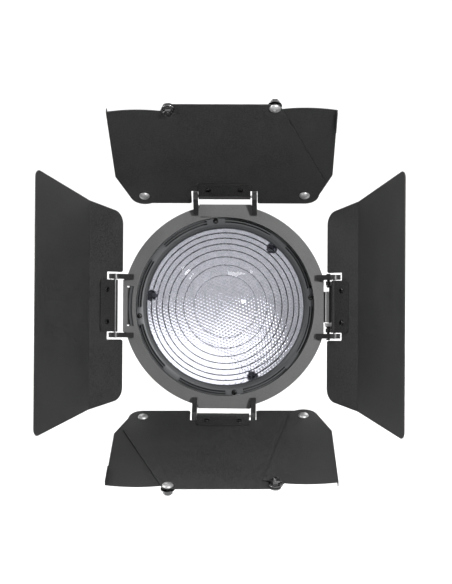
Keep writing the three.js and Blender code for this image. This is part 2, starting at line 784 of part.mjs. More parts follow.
// ---------- leaves ----------
// Hinge plate: a rolled knuckle on the pin and a plate that is screwed to the leaf's inner side.
function hingePlate() {
  const outline = rounded([
    [-HINGE_HALF, 0],
    [HINGE_HALF, 0],
    [HINGE_HALF, HINGE_LENGTH, 3.5],
    [-HINGE_HALF, HINGE_LENGTH, 3.5],
  ]);
  const knuckle = slab(circle(0, 0, KNUCKLE_RADIUS, 16), -HINGE_HALF, HINGE_HALF);
  const bore = slab(circle(0, 0, KNUCKLE_BORE), -HINGE_HALF - 1, HINGE_HALF + 1);
  return cut(join(plate(outline, HINGE_BASE, HINGE_THICK), knuckle), bore);
}

// The inner edge, from the left notch to the right one: two notches clear the hinge's ears.
function notchedEdge(notch) {
  return [
    [-notch.half, LEAF_INNER, NOTCH_CORNER],
    [-notch.half, notch.depth],
    [-TONGUE_HALF, notch.depth],
    [-TONGUE_HALF, TONGUE_START],
    [TONGUE_HALF, TONGUE_START],
    [TONGUE_HALF, notch.depth],
    [notch.half, notch.depth],
    [notch.half, LEAF_INNER, NOTCH_CORNER],
  ];
}

const mirrored = (points) => points.map(([w, s]) => [-w, s]).reverse();

// Where a line from an outer point touches the round corner about the rivet, in degrees.
function tangentAngle(w, s, side) {
  const away = new THREE.Vector2(w - RIVET.w, s - RIVET.s);
  const turn = Math.acos(CORNER_RADIUS / away.length());
  return degrees(away.angle() + side * turn);
}

// Wide leaf of the top and bottom: round corners about the rivets and slanting outer edges.
function wideLeaf() {
  const clockwise = tangentAngle(SHOULDER.w, SHOULDER.s, -1);
  const rightSide = [
    ...arc(RIVET.w, RIVET.s, CORNER_RADIUS, -90, clockwise, 6),
    [SHOULDER.w, SHOULDER.s],
    [LEAF_TIP_HALF, LEAF_OUTER],
  ];
  const outline = rounded([...notchedEdge(WIDE_NOTCH), ...rightSide, ...mirrored(rightSide)]);
  const holes = [];
  for (const side of [-1, 1]) {
    holes.push(circle(side * RIVET.w, RIVET.s, RIVET_HOLE));
    holes.push(circle(side * STOP.w, STOP.s, STOP_HOLE));
  }
  return plate(outline, -LEAF_THICK / 2, LEAF_THICK, holes);
}

// Flap that fans out from behind or in front of a wide leaf, drawn for the +w side with its
// finger lip towards -o; it turns about its rivet.
function flap() {
  const outerEnd = onCircle(RIVET.w, RIVET.s, FLAP_RADIUS, FLAP_OUTER_ANGLE);
  const innerEnd = onCircle(RIVET.w, RIVET.s, FLAP_RADIUS, FLAP_INNER_ANGLE);
  const outerTangent = tangentAngle(FLAP_CORNER.w, FLAP_CORNER.s, -1);
  const innerTangent = tangentAngle(innerEnd[0], innerEnd[1], 1) - 360;
  const outline = [
    ...arc(RIVET.w, RIVET.s, FLAP_RADIUS, FLAP_OUTER_ANGLE, FLAP_INNER_ANGLE, 10),
    ...arc(RIVET.w, RIVET.s, CORNER_RADIUS, innerTangent, outerTangent, 10),
    [FLAP_CORNER.w, FLAP_CORNER.s],
  ];
  const hole = circle(RIVET.w, RIVET.s, RIVET_HOLE);
  const sheet = plate(outline, FLAP_OFFSET - FLAP_THICK / 2, FLAP_THICK, [hole]);
  const along = new THREE.Vector2(FLAP_CORNER.w - outerEnd[0], FLAP_CORNER.s - outerEnd[1]);
  const lipTop = FLAP_OFFSET + FLAP_THICK / 2;
  const lip = block([-FLAP_THICK, 0], [-LIP_LENGTH, 0], [lipTop - LIP_REACH, lipTop])
    .rotateZ(Math.atan2(along.x, -along.y))
    .translate(outerEnd[0], outerEnd[1], 0);
  return join(sheet, lip);
}

// Rivet that the flap turns on: domed head on the viewer's side.
function flapPivot(flapInFront) {
  const headBase = (flapInFront ? FLAP_OFFSET + FLAP_THICK / 2 : LEAF_THICK / 2) + GAP;
  const tailBase = -(flapInFront ? LEAF_THICK / 2 : FLAP_OFFSET + FLAP_THICK / 2) - GAP;
  const profile = [
    [0, tailBase - 1.4],
    [3.6, tailBase - 1.4],
    [3.6, tailBase],
    [2, tailBase],
    [2, headBase],
    [5.4, headBase],
    [4.4, headBase + 1.5],
    [2.4, headBase + 2.4],
    [0, headBase + 2.6],
  ];
  return turned(profile, SMALL_SIDES);
}

// Friction stop: domed head on the leaf's bare side, washer and nut over the flap's round edge.
function flapStop() {
  const headBase = -LEAF_THICK / 2 - GAP;
  const washerBase = FLAP_OFFSET + FLAP_THICK / 2 + GAP;
  const profile = [
    [0, headBase - 2.7],
    [2.6, headBase - 2.5],
    [4.8, headBase - 1.5],
    [5.7, headBase],
    [1.5, headBase],
    [1.5, washerBase],
    [WASHER_RADIUS, washerBase],
    [WASHER_RADIUS, washerBase + 1.2],
    [5.2, washerBase + 1.4],
    [4.8, washerBase + 5.6],
    [1.8, washerBase + 5.8],
    [1.8, washerBase + 7.4],
    [0, washerBase + 7.4],
  ];
  return turned(profile, SMALL_SIDES);
}

function addWideLeaf(parent, name, flapNames) {
  addMesh(parent, `leaf_${name}`, wideLeaf(), FINISH.leaf);
  // The flap at -w lies in front of the leaf, and the flap at +w lies behind it.
  for (const inFront of [true, false]) {
    const suffix = inFront ? flapNames.front : flapNames.behind;
    const side = inFront ? -1 : 1;
    const sheet = inFront ? flap().scale(-1, 1, 1) : flap().scale(1, 1, -1);
    addMesh(parent, `flap_${suffix}`, sheet, FINISH.leaf);
    const pivot = addMesh(parent, `flap_pivot_${suffix}`, flapPivot(inFront), FINISH.steel);
    pivot.position.set(side * RIVET.w, RIVET.s, 0);
    const stopGeometry = inFront ? flapStop() : flapStop().rotateY(Math.PI);
    const stop = addMesh(parent, `flap_stop_${suffix}`, stopGeometry, FINISH.steel);
    stop.position.set(side * STOP.w, STOP.s, 0);
  }
}

// Side leaf: a trapezoid folded forward along a line across it.
function foldedLeaf() {
  const slope = (SIDE_HALF_AT_OUTER - SIDE_HALF_AT_INNER) / (SIDE_LEAF_OUTER - LEAF_INNER);
  const halfAt = (s) => SIDE_HALF_AT_INNER + slope * (s - LEAF_INNER);
  const foldHalf = halfAt(SIDE_LEAF_FOLD);
  const inner = rounded([
    ...notchedEdge(SIDE_NOTCH),
    [SIDE_HALF_AT_INNER, LEAF_INNER, 15],
    [foldHalf, SIDE_LEAF_FOLD],
    [-foldHalf, SIDE_LEAF_FOLD],
    [-SIDE_HALF_AT_INNER, LEAF_INNER, 15],
  ]);
  const length = SIDE_LEAF_OUTER - SIDE_LEAF_FOLD;
  const outer = rounded([
    [-foldHalf, 0],
    [foldHalf, 0],
    [SIDE_HALF_AT_OUTER, length, 7],
    [-SIDE_HALF_AT_OUTER, length, 7],
  ]);
  const outerPanel = plate(outer, -LEAF_THICK / 2, LEAF_THICK)
    .rotateX(radians(SIDE_LEAF_BEND))
    .translate(0, SIDE_LEAF_FOLD, 0);
  const crease = slab(circle(SIDE_LEAF_FOLD, 0, LEAF_THICK / 2), -foldHalf, foldHalf);
  return join(plate(inner, -LEAF_THICK / 2, LEAF_THICK), outerPanel, crease);
}

// The frame of a leaf at its opening angle: x across, y away from the pin and z to the inner side.
function leafGroup(side, { opening, play, skew }) {
  const hinge = addGroup(side, [play, PIN_OUT, PIN_FORWARD]);
  hinge.rotation.x = radians(opening);
  const sheet = addGroup(hinge);
  sheet.rotation.z = radians(skew);
  return { hinge, sheet };
}

// ---------- the whole object ----------
function build() {
  const object = new THREE.Group();
  const face = addGroup(object);
  face.rotation.x = Math.PI / 2;
  addHousing(face);
  addFocusRing(face);
  addCarriage(face);

  const barndoor = addGroup(face, [0, 0, RING_FRONT]);
  const sides = {};
  for (const [name, { turn }] of Object.entries(SIDES)) {
    sides[name] = addGroup(barndoor);
    sides[name].rotation.z = radians(turn);
  }
  addBarndoorFrame(barndoor, sides);

  for (const [name, setting] of Object.entries(SIDES)) {
    const { hinge, sheet } = leafGroup(sides[name], setting);
    addMesh(hinge, `hinge_plate_${name}`, hingePlate(), FINISH.hinge);
    if (name === "top") {
      addWideLeaf(sheet, name, { front: "top_left", behind: "top_right" });
    } else if (name === "bottom") {
      addWideLeaf(sheet, name, { front: "bottom_right", behind: "bottom_left" });
    } else {
      addMesh(sheet, `leaf_${name}`, foldedLeaf(), FINISH.leaf);
    }
  }
  return object;
}

export default build();
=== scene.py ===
import json
import math

import bmesh
import bpy
from mathutils import Matrix, Vector
from mathutils.geometry import tessellate_polygon


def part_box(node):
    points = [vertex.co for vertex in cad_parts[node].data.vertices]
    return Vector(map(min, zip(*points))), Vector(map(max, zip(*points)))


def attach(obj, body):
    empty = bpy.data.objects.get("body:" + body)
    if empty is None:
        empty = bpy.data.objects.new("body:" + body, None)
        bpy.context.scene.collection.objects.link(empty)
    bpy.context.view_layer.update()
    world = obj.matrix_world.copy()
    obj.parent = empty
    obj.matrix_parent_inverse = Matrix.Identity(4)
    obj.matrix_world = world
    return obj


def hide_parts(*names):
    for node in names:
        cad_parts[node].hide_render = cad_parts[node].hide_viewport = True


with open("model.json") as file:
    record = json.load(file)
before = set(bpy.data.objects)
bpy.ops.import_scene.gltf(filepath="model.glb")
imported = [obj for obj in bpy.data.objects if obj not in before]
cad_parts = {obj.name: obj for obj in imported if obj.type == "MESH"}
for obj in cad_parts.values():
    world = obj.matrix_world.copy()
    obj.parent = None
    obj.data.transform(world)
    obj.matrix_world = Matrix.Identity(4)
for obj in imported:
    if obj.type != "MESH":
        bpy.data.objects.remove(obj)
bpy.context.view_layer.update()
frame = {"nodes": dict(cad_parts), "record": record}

# Every piece is drawn in a face frame in millimetres, as seen by someone who faces the light:
# x right, y up, z forward from the rear mounting face. FACE brings it into the row frame in metres.
MM = 0.001
FACE = Matrix(((MM, 0, 0, 0), (0, 0, -MM, 0), (0, MM, 0, 0), (0, 0, 0, 1)))
ACROSS = Matrix(((0, 0, 1, 0), (1, 0, 0, 0), (0, 1, 0, 0), (0, 0, 0, 1)))


# ---------- places and sizes from the frame ----------
def node_box(name):
    """A CAD node's box in the face frame: (low, high) in millimetres."""
    low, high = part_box(name)
    return (Vector((low.x, low.z, -high.y)) / MM, Vector((high.x, high.z, -low.y)) / MM)


def joint(name):
    return next(j for j in frame["record"]["behaviour"]["joints"] if j["name"] == name)


# Bayonet plate and rear shell.
PLATE_BORE, PLATE_RADIUS, PLATE_THICK = 49, 74, 4
PLATE_SCREW_CIRCLE, PLATE_SCREW_ANGLES = 70, (30, 150, 270)
CLAW_INNER, CLAW_OUTER, CLAW_REAR, CLAW_FRONT = 56, 64, -9, -6
CLAW_STEM_HALF, CLAW_END = 8, 32  # degrees from the stem's middle
CLAW_ANGLES = (90, 210, 330)
SHELL_HOLE, SHELL_BORE, SHELL_SEAT, SHELL_RADIUS = 52, 94.5, 97.4, 100
SHELL_REAR, SHELL_FRONT = 4.3, 44
SHELL_SLOTS = 16

# Barrel, rim and bezel.
RING_HIGH = node_box("barndoor_ring")[1]
RING_FRONT = round(RING_HIGH.z, 3)
BARREL_BORE, BARREL_RADIUS, BARREL_REAR = 94, 97, 33.8
FLANGE_HOLE = 90.2
RIM_RADIUS = round(node_box("front_rim")[1].x, 1)
RIM_HOLE, RIM_SEAT, RIM_SKIRT = 94.2, 97.3, 98.6
BEZEL_HOLE, BEZEL_RADIUS = 83, 93.4
BEZEL_SCREW_ANGLES = (6.5, 96.5, 186.5, 276.5)
BEZEL_SCREW_CIRCLE = 90.6
SCREW_HOLE = 1.6
SLOT_INNER, SLOT_OUTER = 88.5, 92.5
SLOT_START, SLOT_STOP = 6, 38.5  # degrees from a bezel screw
RIB_INNER, RIB_OUTER, RIB_OVERLAP = 89.9, 91.1, 0.5

# Focusing: the followers ride in the barrel's straight slots and the focus ring's helical ones.
FOCUS_TURN = joint("focus_turn")["range_deg"][1]
FOCUS_TRAVEL = joint("lens_slide")["range_m"][1] / MM
FOCUS_BORE, FOCUS_RADIUS, FOCUS_REAR, FOCUS_FRONT = 97.6, 101, 86, 168
FOLLOWER_ANGLES = (112, 232, 352)
FOLLOWER_BACK = 34
BARREL_SLOT_HALF, HELIX_HALF = 3.2, 3.1
GRIP_BORE, GRIP_RADIUS, GRIP_RELIEF, GRIP_REAR, GRIP_FRONT = 101.6, 104.3, 0.7, 94, 160
GLIDE_BORE, GLIDE_RADIUS = 97.4, 100
GLIDE_RINGS = {"front": (168.4, 171), "rear": (83, 85.6)}

# Lens: heights are from the ring's front face.
LENS_RADIUS = round(node_box("fresnel_lens")[1].y, 1)
LENS_RINGS = (32.9, 43.6, 52.2, 59.5, 66, 72, 77.5, 82.6)
LENS_VALLEY, LENS_STEP, LENS_DOME, LENS_BACK = -15.2, 4.3, 5.9, -21.2
DIMPLE_PITCH, DIMPLE_DEPTH, DIMPLE_ANGLE = 3.5, 0.5, math.radians(22)
DIMPLE_COS, DIMPLE_SIN = math.cos(DIMPLE_ANGLE), math.sin(DIMPLE_ANGLE)
CLIP_ANGLES = (52, 171.5, 291.5)
CLIP_HALF, CLIP_ROOT, CLIP_TIP = 5.25, 90.3, 74.25

# Barn-door ring, hinges and latch.
RING_THICK, RING_RADIUS, RING_HOLE = 3.0, 107.4, 93.8
TAB_HALF, TAB_REACH, LATCH_TAB_REACH = 27.4, RING_HIGH.y, 103.7
WINDOW_INNER, WINDOW_OUTER, WINDOW_HALF = 97.8, 103, 21
TONGUE_HALF, TONGUE_OUTER, TONGUE_BACK = 19.6, 103.6, -8.1
PIN_OUT = joint("top_leaf_fold")["pos_m"][2] / MM
PIN_FORWARD = -joint("top_leaf_fold")["pos_m"][1] / MM - RING_FRONT
PIN_RADIUS, PIN_TIP, PIN_HALF = 1.3, 0.9, 33.5
EAR_INNER, EAR_OUTER = 28.1, 33.2
EAR_FOOT, EAR_WRAP, EAR_EDGE, EAR_BACK = 95.5, 103.6, 106.4, -6
EAR_BOSS = 6.5
KNUCKLE_RADIUS, KNUCKLE_BORE = 3, 1.65
HINGE_HALF, HINGE_REACH = 27.15, 22.5
HINGE_SCREW_ACROSS, HINGE_SCREW_OUT = 16.8, 13.7
LATCH_OUT = joint("latch_release")["pos_m"][0] / MM
LATCH_FORWARD = -joint("latch_release")["pos_m"][1] / MM - RING_FRONT
LATCH_HOLE = 1.9
PAD_HALF, PAD_INNER, PAD_OUTER = 16.2, 105.2, 109.2
HANGER_HALF, HANGER_LUG = 26.8, 22.4

# Leaves and flaps.
SHEET = 0.6  # half the thickness of a leaf
LEAF_INNER, LEAF_OUTER, LEAF_TIP_HALF = -11.1, 149.6, 57
SHOULDER = (103.1, 29)
CORNER_RADIUS = 14.9
RIVET, RIVET_HOLE = (83.4, 3.76), 2.4
STOP, STOP_HOLE = (52.6, 144.9), 1.9
FLAP_NEAR, FLAP_FAR = 1, 2
FLAP_RADIUS = 139.2
FLAP_OUTER_ANGLE, FLAP_INNER_ANGLE = 77.1, 108
FLAP_CORNER = (111.8, 35.6)
NOTCH_START, NOTCH_EDGE = 26.5, 4.5
WIDE_NOTCH, SIDE_NOTCH = (34.4, 10), (35.3, 11.8)  # half-width and depth
SIDE_LEAF_OUTER = 148.2
SIDE_HALF_AT_INNER, SIDE_HALF_AT_OUTER = 97.3, 132.5
FOLD_OUT, FOLD_ANGLE, FOLD_REACH = 37.6, math.radians(18), 1.6

# Pan-head screws: head radius, head height, shank radius and length.
PLATE_SCREW = (2.6, 1.5, 1.4, 4.0)
BEZEL_SCREW = (2.7, 1.6, 1.25, 7.0)
HINGE_SCREW = (2.8, 1.5, 1.2, 3.6)

FINE = 144  # facets of the large round parts
SMALL = 32  # facets of pins and screws

# Studio, in metres in the row frame.
RING_CENTRE = Vector((0, -RING_FRONT * MM, 0))
CAMERA_AZIMUTH, CAMERA_ELEVATION, CAMERA_ROLL = (math.radians(angle) for angle in (1.63, -1.0, 0.35))
CAMERA_DISTANCE = 2.1
WALL = 3.42
FLOOR, SWEEP_TOP = -0.42, 5.0
SWEEP_BEND, SWEEP_HALF, SWEEP_FRONT = 1.25, 8.0, -8.0

# Turn round the axis, opening angle, play along the pin and skew on the hinge plate of each leaf.
LEAVES = {
    "top": (0, 57.1, -0.6, 0),
    "left": (90, 48.9, 0, 0),
    "bottom": (180, 63.9, 0.6, 1),
    "right": (270, 50.2, 0, 0),
}


def turn_z(degrees):
    return Matrix.Rotation(math.radians(degrees), 4, "Z")


def shift(x, y, z):
    return Matrix.Translation((x, y, z))


def side_place(side):
    """Frame of a side of the ring: x across, y outward, z forward of the ring's front face."""
    return shift(0, 0, RING_FRONT) @ turn_z(LEAVES[side][0])


def hinge_place(side):
    """Frame of a leaf's hinge plate: x across, y away from the pin, z towards the inner side."""
    angle, play = LEAVES[side][1:3]
    opening = Matrix.Rotation(math.radians(angle), 4, "X")
    return side_place(side) @ shift(play, PIN_OUT, PIN_FORWARD) @ opening


def sheet_place(side):
    return hinge_place(side) @ turn_z(LEAVES[side][3])


# ---------- shapes: lists of corners and faces ----------
def arc(x, y, radius, start, stop, steps):
    angles = [math.radians(start + (stop - start) * k / steps) for k in range(steps + 1)]
    return [(x + radius * math.cos(a), y + radius * math.sin(a)) for a in angles]


def circle(x, y, radius, sides=SMALL):
    return arc(x, y, radius, 0, 360, sides)[:-1]


def rounded(corners, steps=6):
    """Closed outline through (x, y) corners; a third number rounds the corner to that radius."""
    points = []
    for i, corner in enumerate(corners):
        if len(corner) == 2:
            points.append(corner)
            continue
        here = Vector(corner[:2])
        before = (Vector(corners[i - 1][:2]) - here).normalized()
        after = (Vector(corners[(i + 1) % len(corners)][:2]) - here).normalized()
        half = math.acos(max(-1, min(1, before.dot(after)))) / 2
        centre = here + (before + after).normalized() * (corner[2] / math.sin(half))
        start = here + before * (corner[2] / math.tan(half)) - centre
        end = here + after * (corner[2] / math.tan(half)) - centre
        sweep = math.degrees(math.pi - 2 * half)
        sweep *= 1 if start.x * end.y - start.y * end.x > 0 else -1
        begin = math.degrees(math.atan2(start.y, start.x))
        points += arc(centre.x, centre.y, corner[2], begin, begin + sweep, steps)
    return points


def lathe(profile, segments=FINE):
    """Solid of revolution about z of a closed profile, or of one that starts and ends on the axis."""
    corners = []
    faces = []
    count = len(profile)
    on_axis = profile[0][0] == 0 and profile[-1][0] == 0
    for i in range(segments):
        angle = 2 * math.pi * i / segments
        corners += [(r * math.cos(angle), r * math.sin(angle), z) for r, z in profile]
        here, there = i * count, (i + 1) % segments * count
        for j in range(count - 1 if on_axis else count):
            k = (j + 1) % count
            faces.append((here + j, there + j, there + k, here + k))
    return corners, faces


def tube(inner, outer, rear, front):
    return lathe([(inner, rear), (outer, rear), (outer, front), (inner, front)])


def prism(outline, low, high, holes=()):
    loops = [outline, *holes]
    corners = [(x, y, low) for loop in loops for x, y in loop]
    total = len(corners)
    corners += [(x, y, high) for x, y, _ in corners]
    if holes:
        caps = tessellate_polygon([[Vector((x, y, 0)) for x, y in loop] for loop in loops])
    else:
        caps = [tuple(range(total))]
    faces = [tuple(reversed(cap)) for cap in caps]
    faces += [tuple(i + total for i in cap) for cap in caps]
    first = 0
    for loop in loops:
        count = len(loop)
        for k in range(count):
            a, b = first + k, first + (k + 1) % count
            faces.append((a, b, b + total, a + total))
        first += count
    return corners, faces


def sector(inner, outer, start, stop, low, high, steps=24):
    """Part of a flat ring, between two angles in degrees."""
    outline = arc(0, 0, outer, start, stop, steps) + arc(0, 0, inner, stop, start, steps)
    return prism(outline, low, high)


def moved(shape, place):
    corners, faces = shape
    return [place @ Vector(corner) for corner in corners], faces


def slab(outline, start, stop, holes=()):
    """Outline in a side's outward-forward plane, thick along x."""
    return moved(prism(outline, start, stop, holes), ACROSS)


def box(x, y, z):
    return prism([(x[0], y[0]), (x[1], y[0]), (x[1], y[1]), (x[0], y[1])], z[0], z[1])


def together(shapes):
    corners = []
    faces = []
    for more_corners, more_faces in shapes:
        faces += [tuple(i + len(corners) for i in face) for face in more_faces]
        corners += more_corners
    return corners, faces


def add_object(name, data):
    made = bpy.data.objects.new(name, data)
    bpy.context.scene.collection.objects.link(made)
    return made


# ---------- solids: Blender objects while they are being cut and joined ----------
def solid(shape):
    corners, faces = shape
    mesh = bpy.data.meshes.new("solid")
    mesh.from_pydata([tuple(corner) for corner in corners], [], faces)
    edit = bmesh.new()
    edit.from_mesh(mesh)
    bmesh.ops.remove_doubles(edit, verts=edit.verts, dist=1e-4)
    bmesh.ops.dissolve_degenerate(edit, edges=edit.edges, dist=1e-5)
    bmesh.ops.recalc_face_normals(edit, faces=edit.faces)
    edit.to_mesh(mesh)
    edit.free()
    return add_object("solid", mesh)


def combine(base, shapes, operation):
    tools = [solid(shape) for shape in shapes]
    for tool in tools:
        step = base.modifiers.new(operation, "BOOLEAN")
        step.operation = operation
        step.solver = "EXACT"
        step.object = tool
    bpy.context.view_layer.update()
    graph = bpy.context.evaluated_depsgraph_get()
    mesh = bpy.data.meshes.new_from_object(base.evaluated_get(graph))
    base.modifiers.clear()
    base.data = mesh
    for tool in tools:
        bpy.data.objects.remove(tool)
    return base


def fuse(base, *shapes):
    return combine(base, shapes, "UNION")


def carve(base, *shapes):
    """Cuts shapes that don't touch each other out of a solid, in one go."""
    return combine(base, [together(shapes)], "DIFFERENCE")


def finish_piece(made, name, body, paint, place=None, bevel=0.0, stands_for=(), bevel_angle=35):
    """Names a solid, places it, gives it its material and body, and rounds its edges."""
    made.name = name
    made.data.name = name
    made.data.transform(FACE @ (place or Matrix()))
    edit = bmesh.new()
    edit.from_mesh(made.data)
    bmesh.ops.recalc_face_normals(edit, faces=edit.faces)
    for face in edit.faces:
        face.smooth = True
    if not bevel:
        for edge in edit.edges:
            edge.smooth = edge.calc_face_angle(0) < math.radians(bevel_angle)
    edit.to_mesh(made.data)
    edit.free()
    made.data.materials.clear()
    made.data.materials.append(paint["material"])
    if bevel:
        add_bevel(made, bevel, bevel_angle)
    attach(made, body)
    if stands_for:
        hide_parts(*stands_for)
    return made


def add_bevel(made, width, angle=35):
    rounding = made.modifiers.new("rounded edges", "BEVEL")
    rounding.width = width * MM
    rounding.segments = 2
    rounding.limit_method = "ANGLE"
    rounding.angle_limit = math.radians(angle)
    rounding.harden_normals = True


def keep_node(name, paint, bevel):
    """A CAD node whose shape is right gets its finish and rounded edges."""
    node = frame["nodes"][name]
    node.data.materials.clear()
    node.data.materials.append(paint["material"])
    add_bevel(node, bevel)


# ---------- materials ----------
def new_material(name):
    material = bpy.data.materials.new(name)
    material.use_nodes = True
    nodes = material.node_tree.nodes
    nodes.clear()
    output = nodes.new("ShaderNodeOutputMaterial")
    shader = nodes.new("ShaderNodeBsdfPrincipled")
    material.node_tree.links.new(shader.outputs["BSDF"], output.inputs["Surface"])
    place = nodes.new("ShaderNodeTexCoord")
    return material, shader, place.outputs["Object"]


def noise(material, coordinates, scale, detail=4.0, roughness=0.6):
    node = material.node_tree.nodes.new("ShaderNodeTexNoise")
    node.inputs["Scale"].default_value = scale
    node.inputs["Detail"].default_value = detail
    node.inputs["Roughness"].default_value = roughness
    material.node_tree.links.new(coordinates, node.inputs["Vector"])
    return node.outputs["Fac"]


def ramp(material, value, low, high, start=0.3, stop=0.7):
    """Maps a value to a colour, or to a grey when low and high are numbers."""
    node = material.node_tree.nodes.new("ShaderNodeValToRGB")
    first, last = node.color_ramp.elements
    first.position, last.position = start, stop
    first.color = (*low, 1) if isinstance(low, tuple) else (low, low, low, 1)
    last.color = (*high, 1) if isinstance(high, tuple) else (high, high, high, 1)
    material.node_tree.links.new(value, node.inputs["Fac"])
    return node.outputs["Color"]


def bump(material, shader, heights):
    """Stacks bump nodes: heights is a list of (value, depth in millimetres)."""
    normal = None
    for value, depth in heights:
        node = material.node_tree.nodes.new("ShaderNodeBump")
        node.inputs["Strength"].default_value = 1.0
        node.inputs["Distance"].default_value = depth * MM
        material.node_tree.links.new(value, node.inputs["Height"])
        if normal:
            material.node_tree.links.new(normal, node.inputs["Normal"])
        normal = node.outputs["Normal"]
    material.node_tree.links.new(normal, shader.inputs["Normal"])


def mix_colors(material, factor, first, second):
    node = material.node_tree.nodes.new("ShaderNodeMix")
    node.data_type = "RGBA"
    links = material.node_tree.links
    links.new(factor, node.inputs["Factor"])
    for socket, value in (("A", first), ("B", second)):
        target = next(i for i in node.inputs if i.name == socket and i.type == "RGBA")
        if isinstance(value, tuple):
            target.default_value = (*value, 1)
        else:
            links.new(value, target)
    return next(o for o in node.outputs if o.type == "RGBA")


def coated(name, slot, color, spread, rough, grain, depth, metallic=0.0, specular=0.5):
    """Painted, anodised or powder-coated metal, or rubber: fine grain in colour, gloss and height.

    spread is how far the colour strays either way, rough the two ends of its roughness, grain the
    size of one grain in millimetres and depth its height.
    """
    material, shader, here = new_material(name)
    links = material.node_tree.links
    fine = noise(material, here, 1 / (grain * MM), detail=3.0, roughness=0.65)
    cloudy = noise(material, here, 22.0, detail=5.0, roughness=0.55)
    dark = tuple(c * (1 - spread) for c in color)
    light = tuple(c * (1 + spread) for c in color)
    speckle = ramp(material, fine, dark, light, start=0.38, stop=0.62)
    haze = ramp(material, cloudy, 0.0, 0.35, start=0.42, stop=0.7)
    dust = tuple(min(1.0, c * 1.35 + 0.004) for c in color)
    links.new(mix_colors(material, haze, speckle, dust), shader.inputs["Base Color"])
    links.new(ramp(material, fine, *rough), shader.inputs["Roughness"])
    shader.inputs["Metallic"].default_value = metallic
    shader.inputs["Specular IOR Level"].default_value = specular
    bump(material, shader, [(cloudy, depth * 0.6), (fine, depth)])
    return {"material": material, "slot": slot}


def turned_metal(name, slot, color, rough, metallic=1.0, ridge=0.35, depth=0.004):
    """Turned or plated metal with fine tool marks and light smudges."""
    material, shader, here = new_material(name)
    links = material.node_tree.links
    marks = noise(material, here, 1 / (ridge * MM), detail=2.0, roughness=0.5)
    smudge = noise(material, here, 90.0)
    worn = tuple(c * 0.72 for c in color)
    links.new(ramp(material, smudge, worn, color, start=0.35, stop=0.6), shader.inputs["Base Color"])
    links.new(ramp(material, smudge, rough * 1.5, rough * 0.8), shader.inputs["Roughness"])
    shader.inputs["Metallic"].default_value = metallic
    bump(material, shader, [(marks, depth)])
    return {"material": material, "slot": slot}


def glass():
    """Clear pressed glass with faint ripples left by the mould."""
    material, shader, here = new_material("pressed_glass")
    links = material.node_tree.links
    shader.inputs["Transmission Weight"].default_value = 1.0
    shader.inputs["IOR"].default_value = 1.5
    ripple = noise(material, here, 160.0, detail=3.0, roughness=0.5)
    tint = ramp(material, ripple, (0.295, 0.30, 0.335), (0.36, 0.365, 0.405))
    links.new(tint, shader.inputs["Base Color"])
    links.new(ramp(material, ripple, 0.0, 0.035, start=0.35, stop=0.75), shader.inputs["Roughness"])
    bump(material, shader, [(ripple, 0.02)])
    return {"material": material, "slot": "lens_glass"}


def grey(tone):
    return (tone, tone, tone)


# Coatings: name, slot, colour, its spread, roughness from and to, grain, depth, metallic, specular.
HOUSING = coated(
    "satin_black_anodising", "housing_paint", (0.014, 0.0145, 0.0155), 0.2, (0.34, 0.5), 0.5, 0.006
)
TRIM = coated("dark_grey_anodising", "trim_paint", (0.066, 0.069, 0.072), 0.16, (0.36, 0.52), 0.5, 0.008, 0.3)
RING_PAINT = coated("mid_grey_paint", "ring_paint", grey(0.09), 0.14, (0.42, 0.56), 0.7, 0.012)
# The pad's paint is the ring's grey made lighter: painted light on the latch pad.
PAD_PAINTED_LIGHT = coated("ring_paint_with_painted_light", "ring_paint", grey(0.275), 0.1, (0.4, 0.52), 0.7, 0.01)
HINGE_PAINT = coated("dark_grey_paint", "hinge_paint", grey(0.026), 0.22, (0.24, 0.36), 0.6, 0.008)
LEAF_PAINT = coated("black_powder_coat", "leaf_powder_coat", grey(0.024), 0.6, (0.42, 0.7), 1.5, 0.06)
GRIP = coated("ribbed_rubber", "grip_rubber", grey(0.012), 0.3, (0.7, 0.9), 0.7, 0.02, 0.0, 0.3)
SEAL = coated("silicone_seal", "seal_rubber", grey(0.015), 0.2, (0.55, 0.75), 0.8, 0.01)
MARK = coated("white_mark", "mark_paint", grey(0.75), 0.05, (0.5, 0.6), 0.6, 0.005)
# Bare and plated metal: name, slot, colour, roughness, metallic, width and depth of the tool marks.
BRIGHT = turned_metal("bright_nickel", "bright_steel", grey(0.7), 0.34, 0.8)
CHROME = turned_metal("dark_chrome", "black_steel", grey(0.3), 0.12)
ZINC = turned_metal("grey_zinc", "black_steel", (0.85, 0.85, 0.86), 0.45, 0.2)
BLACK_STEEL = turned_metal("black_oxide_steel", "black_steel", (0.07, 0.07, 0.072), 0.13)
BARE = turned_metal("bare_aluminium", "housing_paint", (0.62, 0.63, 0.66), 0.45, 0.35, 0.8, 0.006)
GLASS = glass()


# ---------- fasteners ----------
def cross_screw(name, body, place, size, stands_for=()):
    """Pan-head screw with a cross recess; z = 0 is under the head and the head points along +z."""
    head, height, shank, length = size
    edge = height * 0.45
    dome = [(head * math.cos(a), edge + (height - edge) * math.sin(a)) for a in (0.35, 0.7, 1.05, 1.3)]
    profile = [(0, -length), (shank, -length), (shank, 0), (head, 0), (head, edge), *dome, (0, height)]
    made = solid(lathe(profile, SMALL))
    arm, half = head * 0.58, head * 0.13
    cross = [(half, half), (half, arm), (-half, arm), (-half, half), (-arm, half), (-arm, -half)]
    cross += [(-x, -y) for x, y in cross]
    carve(made, prism(cross, height * 0.35, height + 1))
    return finish_piece(made, name, body, BLACK_STEEL, place, 0.08, stands_for)


# ---------- lamp housing ----------
def repaint(made, paint, chosen):
    """Gives another finish to the faces that a test of their centre in mm and their normal picks."""
    made.data.materials.append(paint["material"])
    for face in made.data.polygons:
        if chosen(face.center / MM, face.normal):
            face.material_index = 1


def line_inside(made, radius):
    """Leaves the bore of a turned piece, which light from the lens falls on, bare."""
    def in_bore(at, normal):
        return math.hypot(at.x, at.z) < radius and Vector((at.x, 0, at.z)).dot(normal) < 0

    repaint(made, BARE, in_bore)


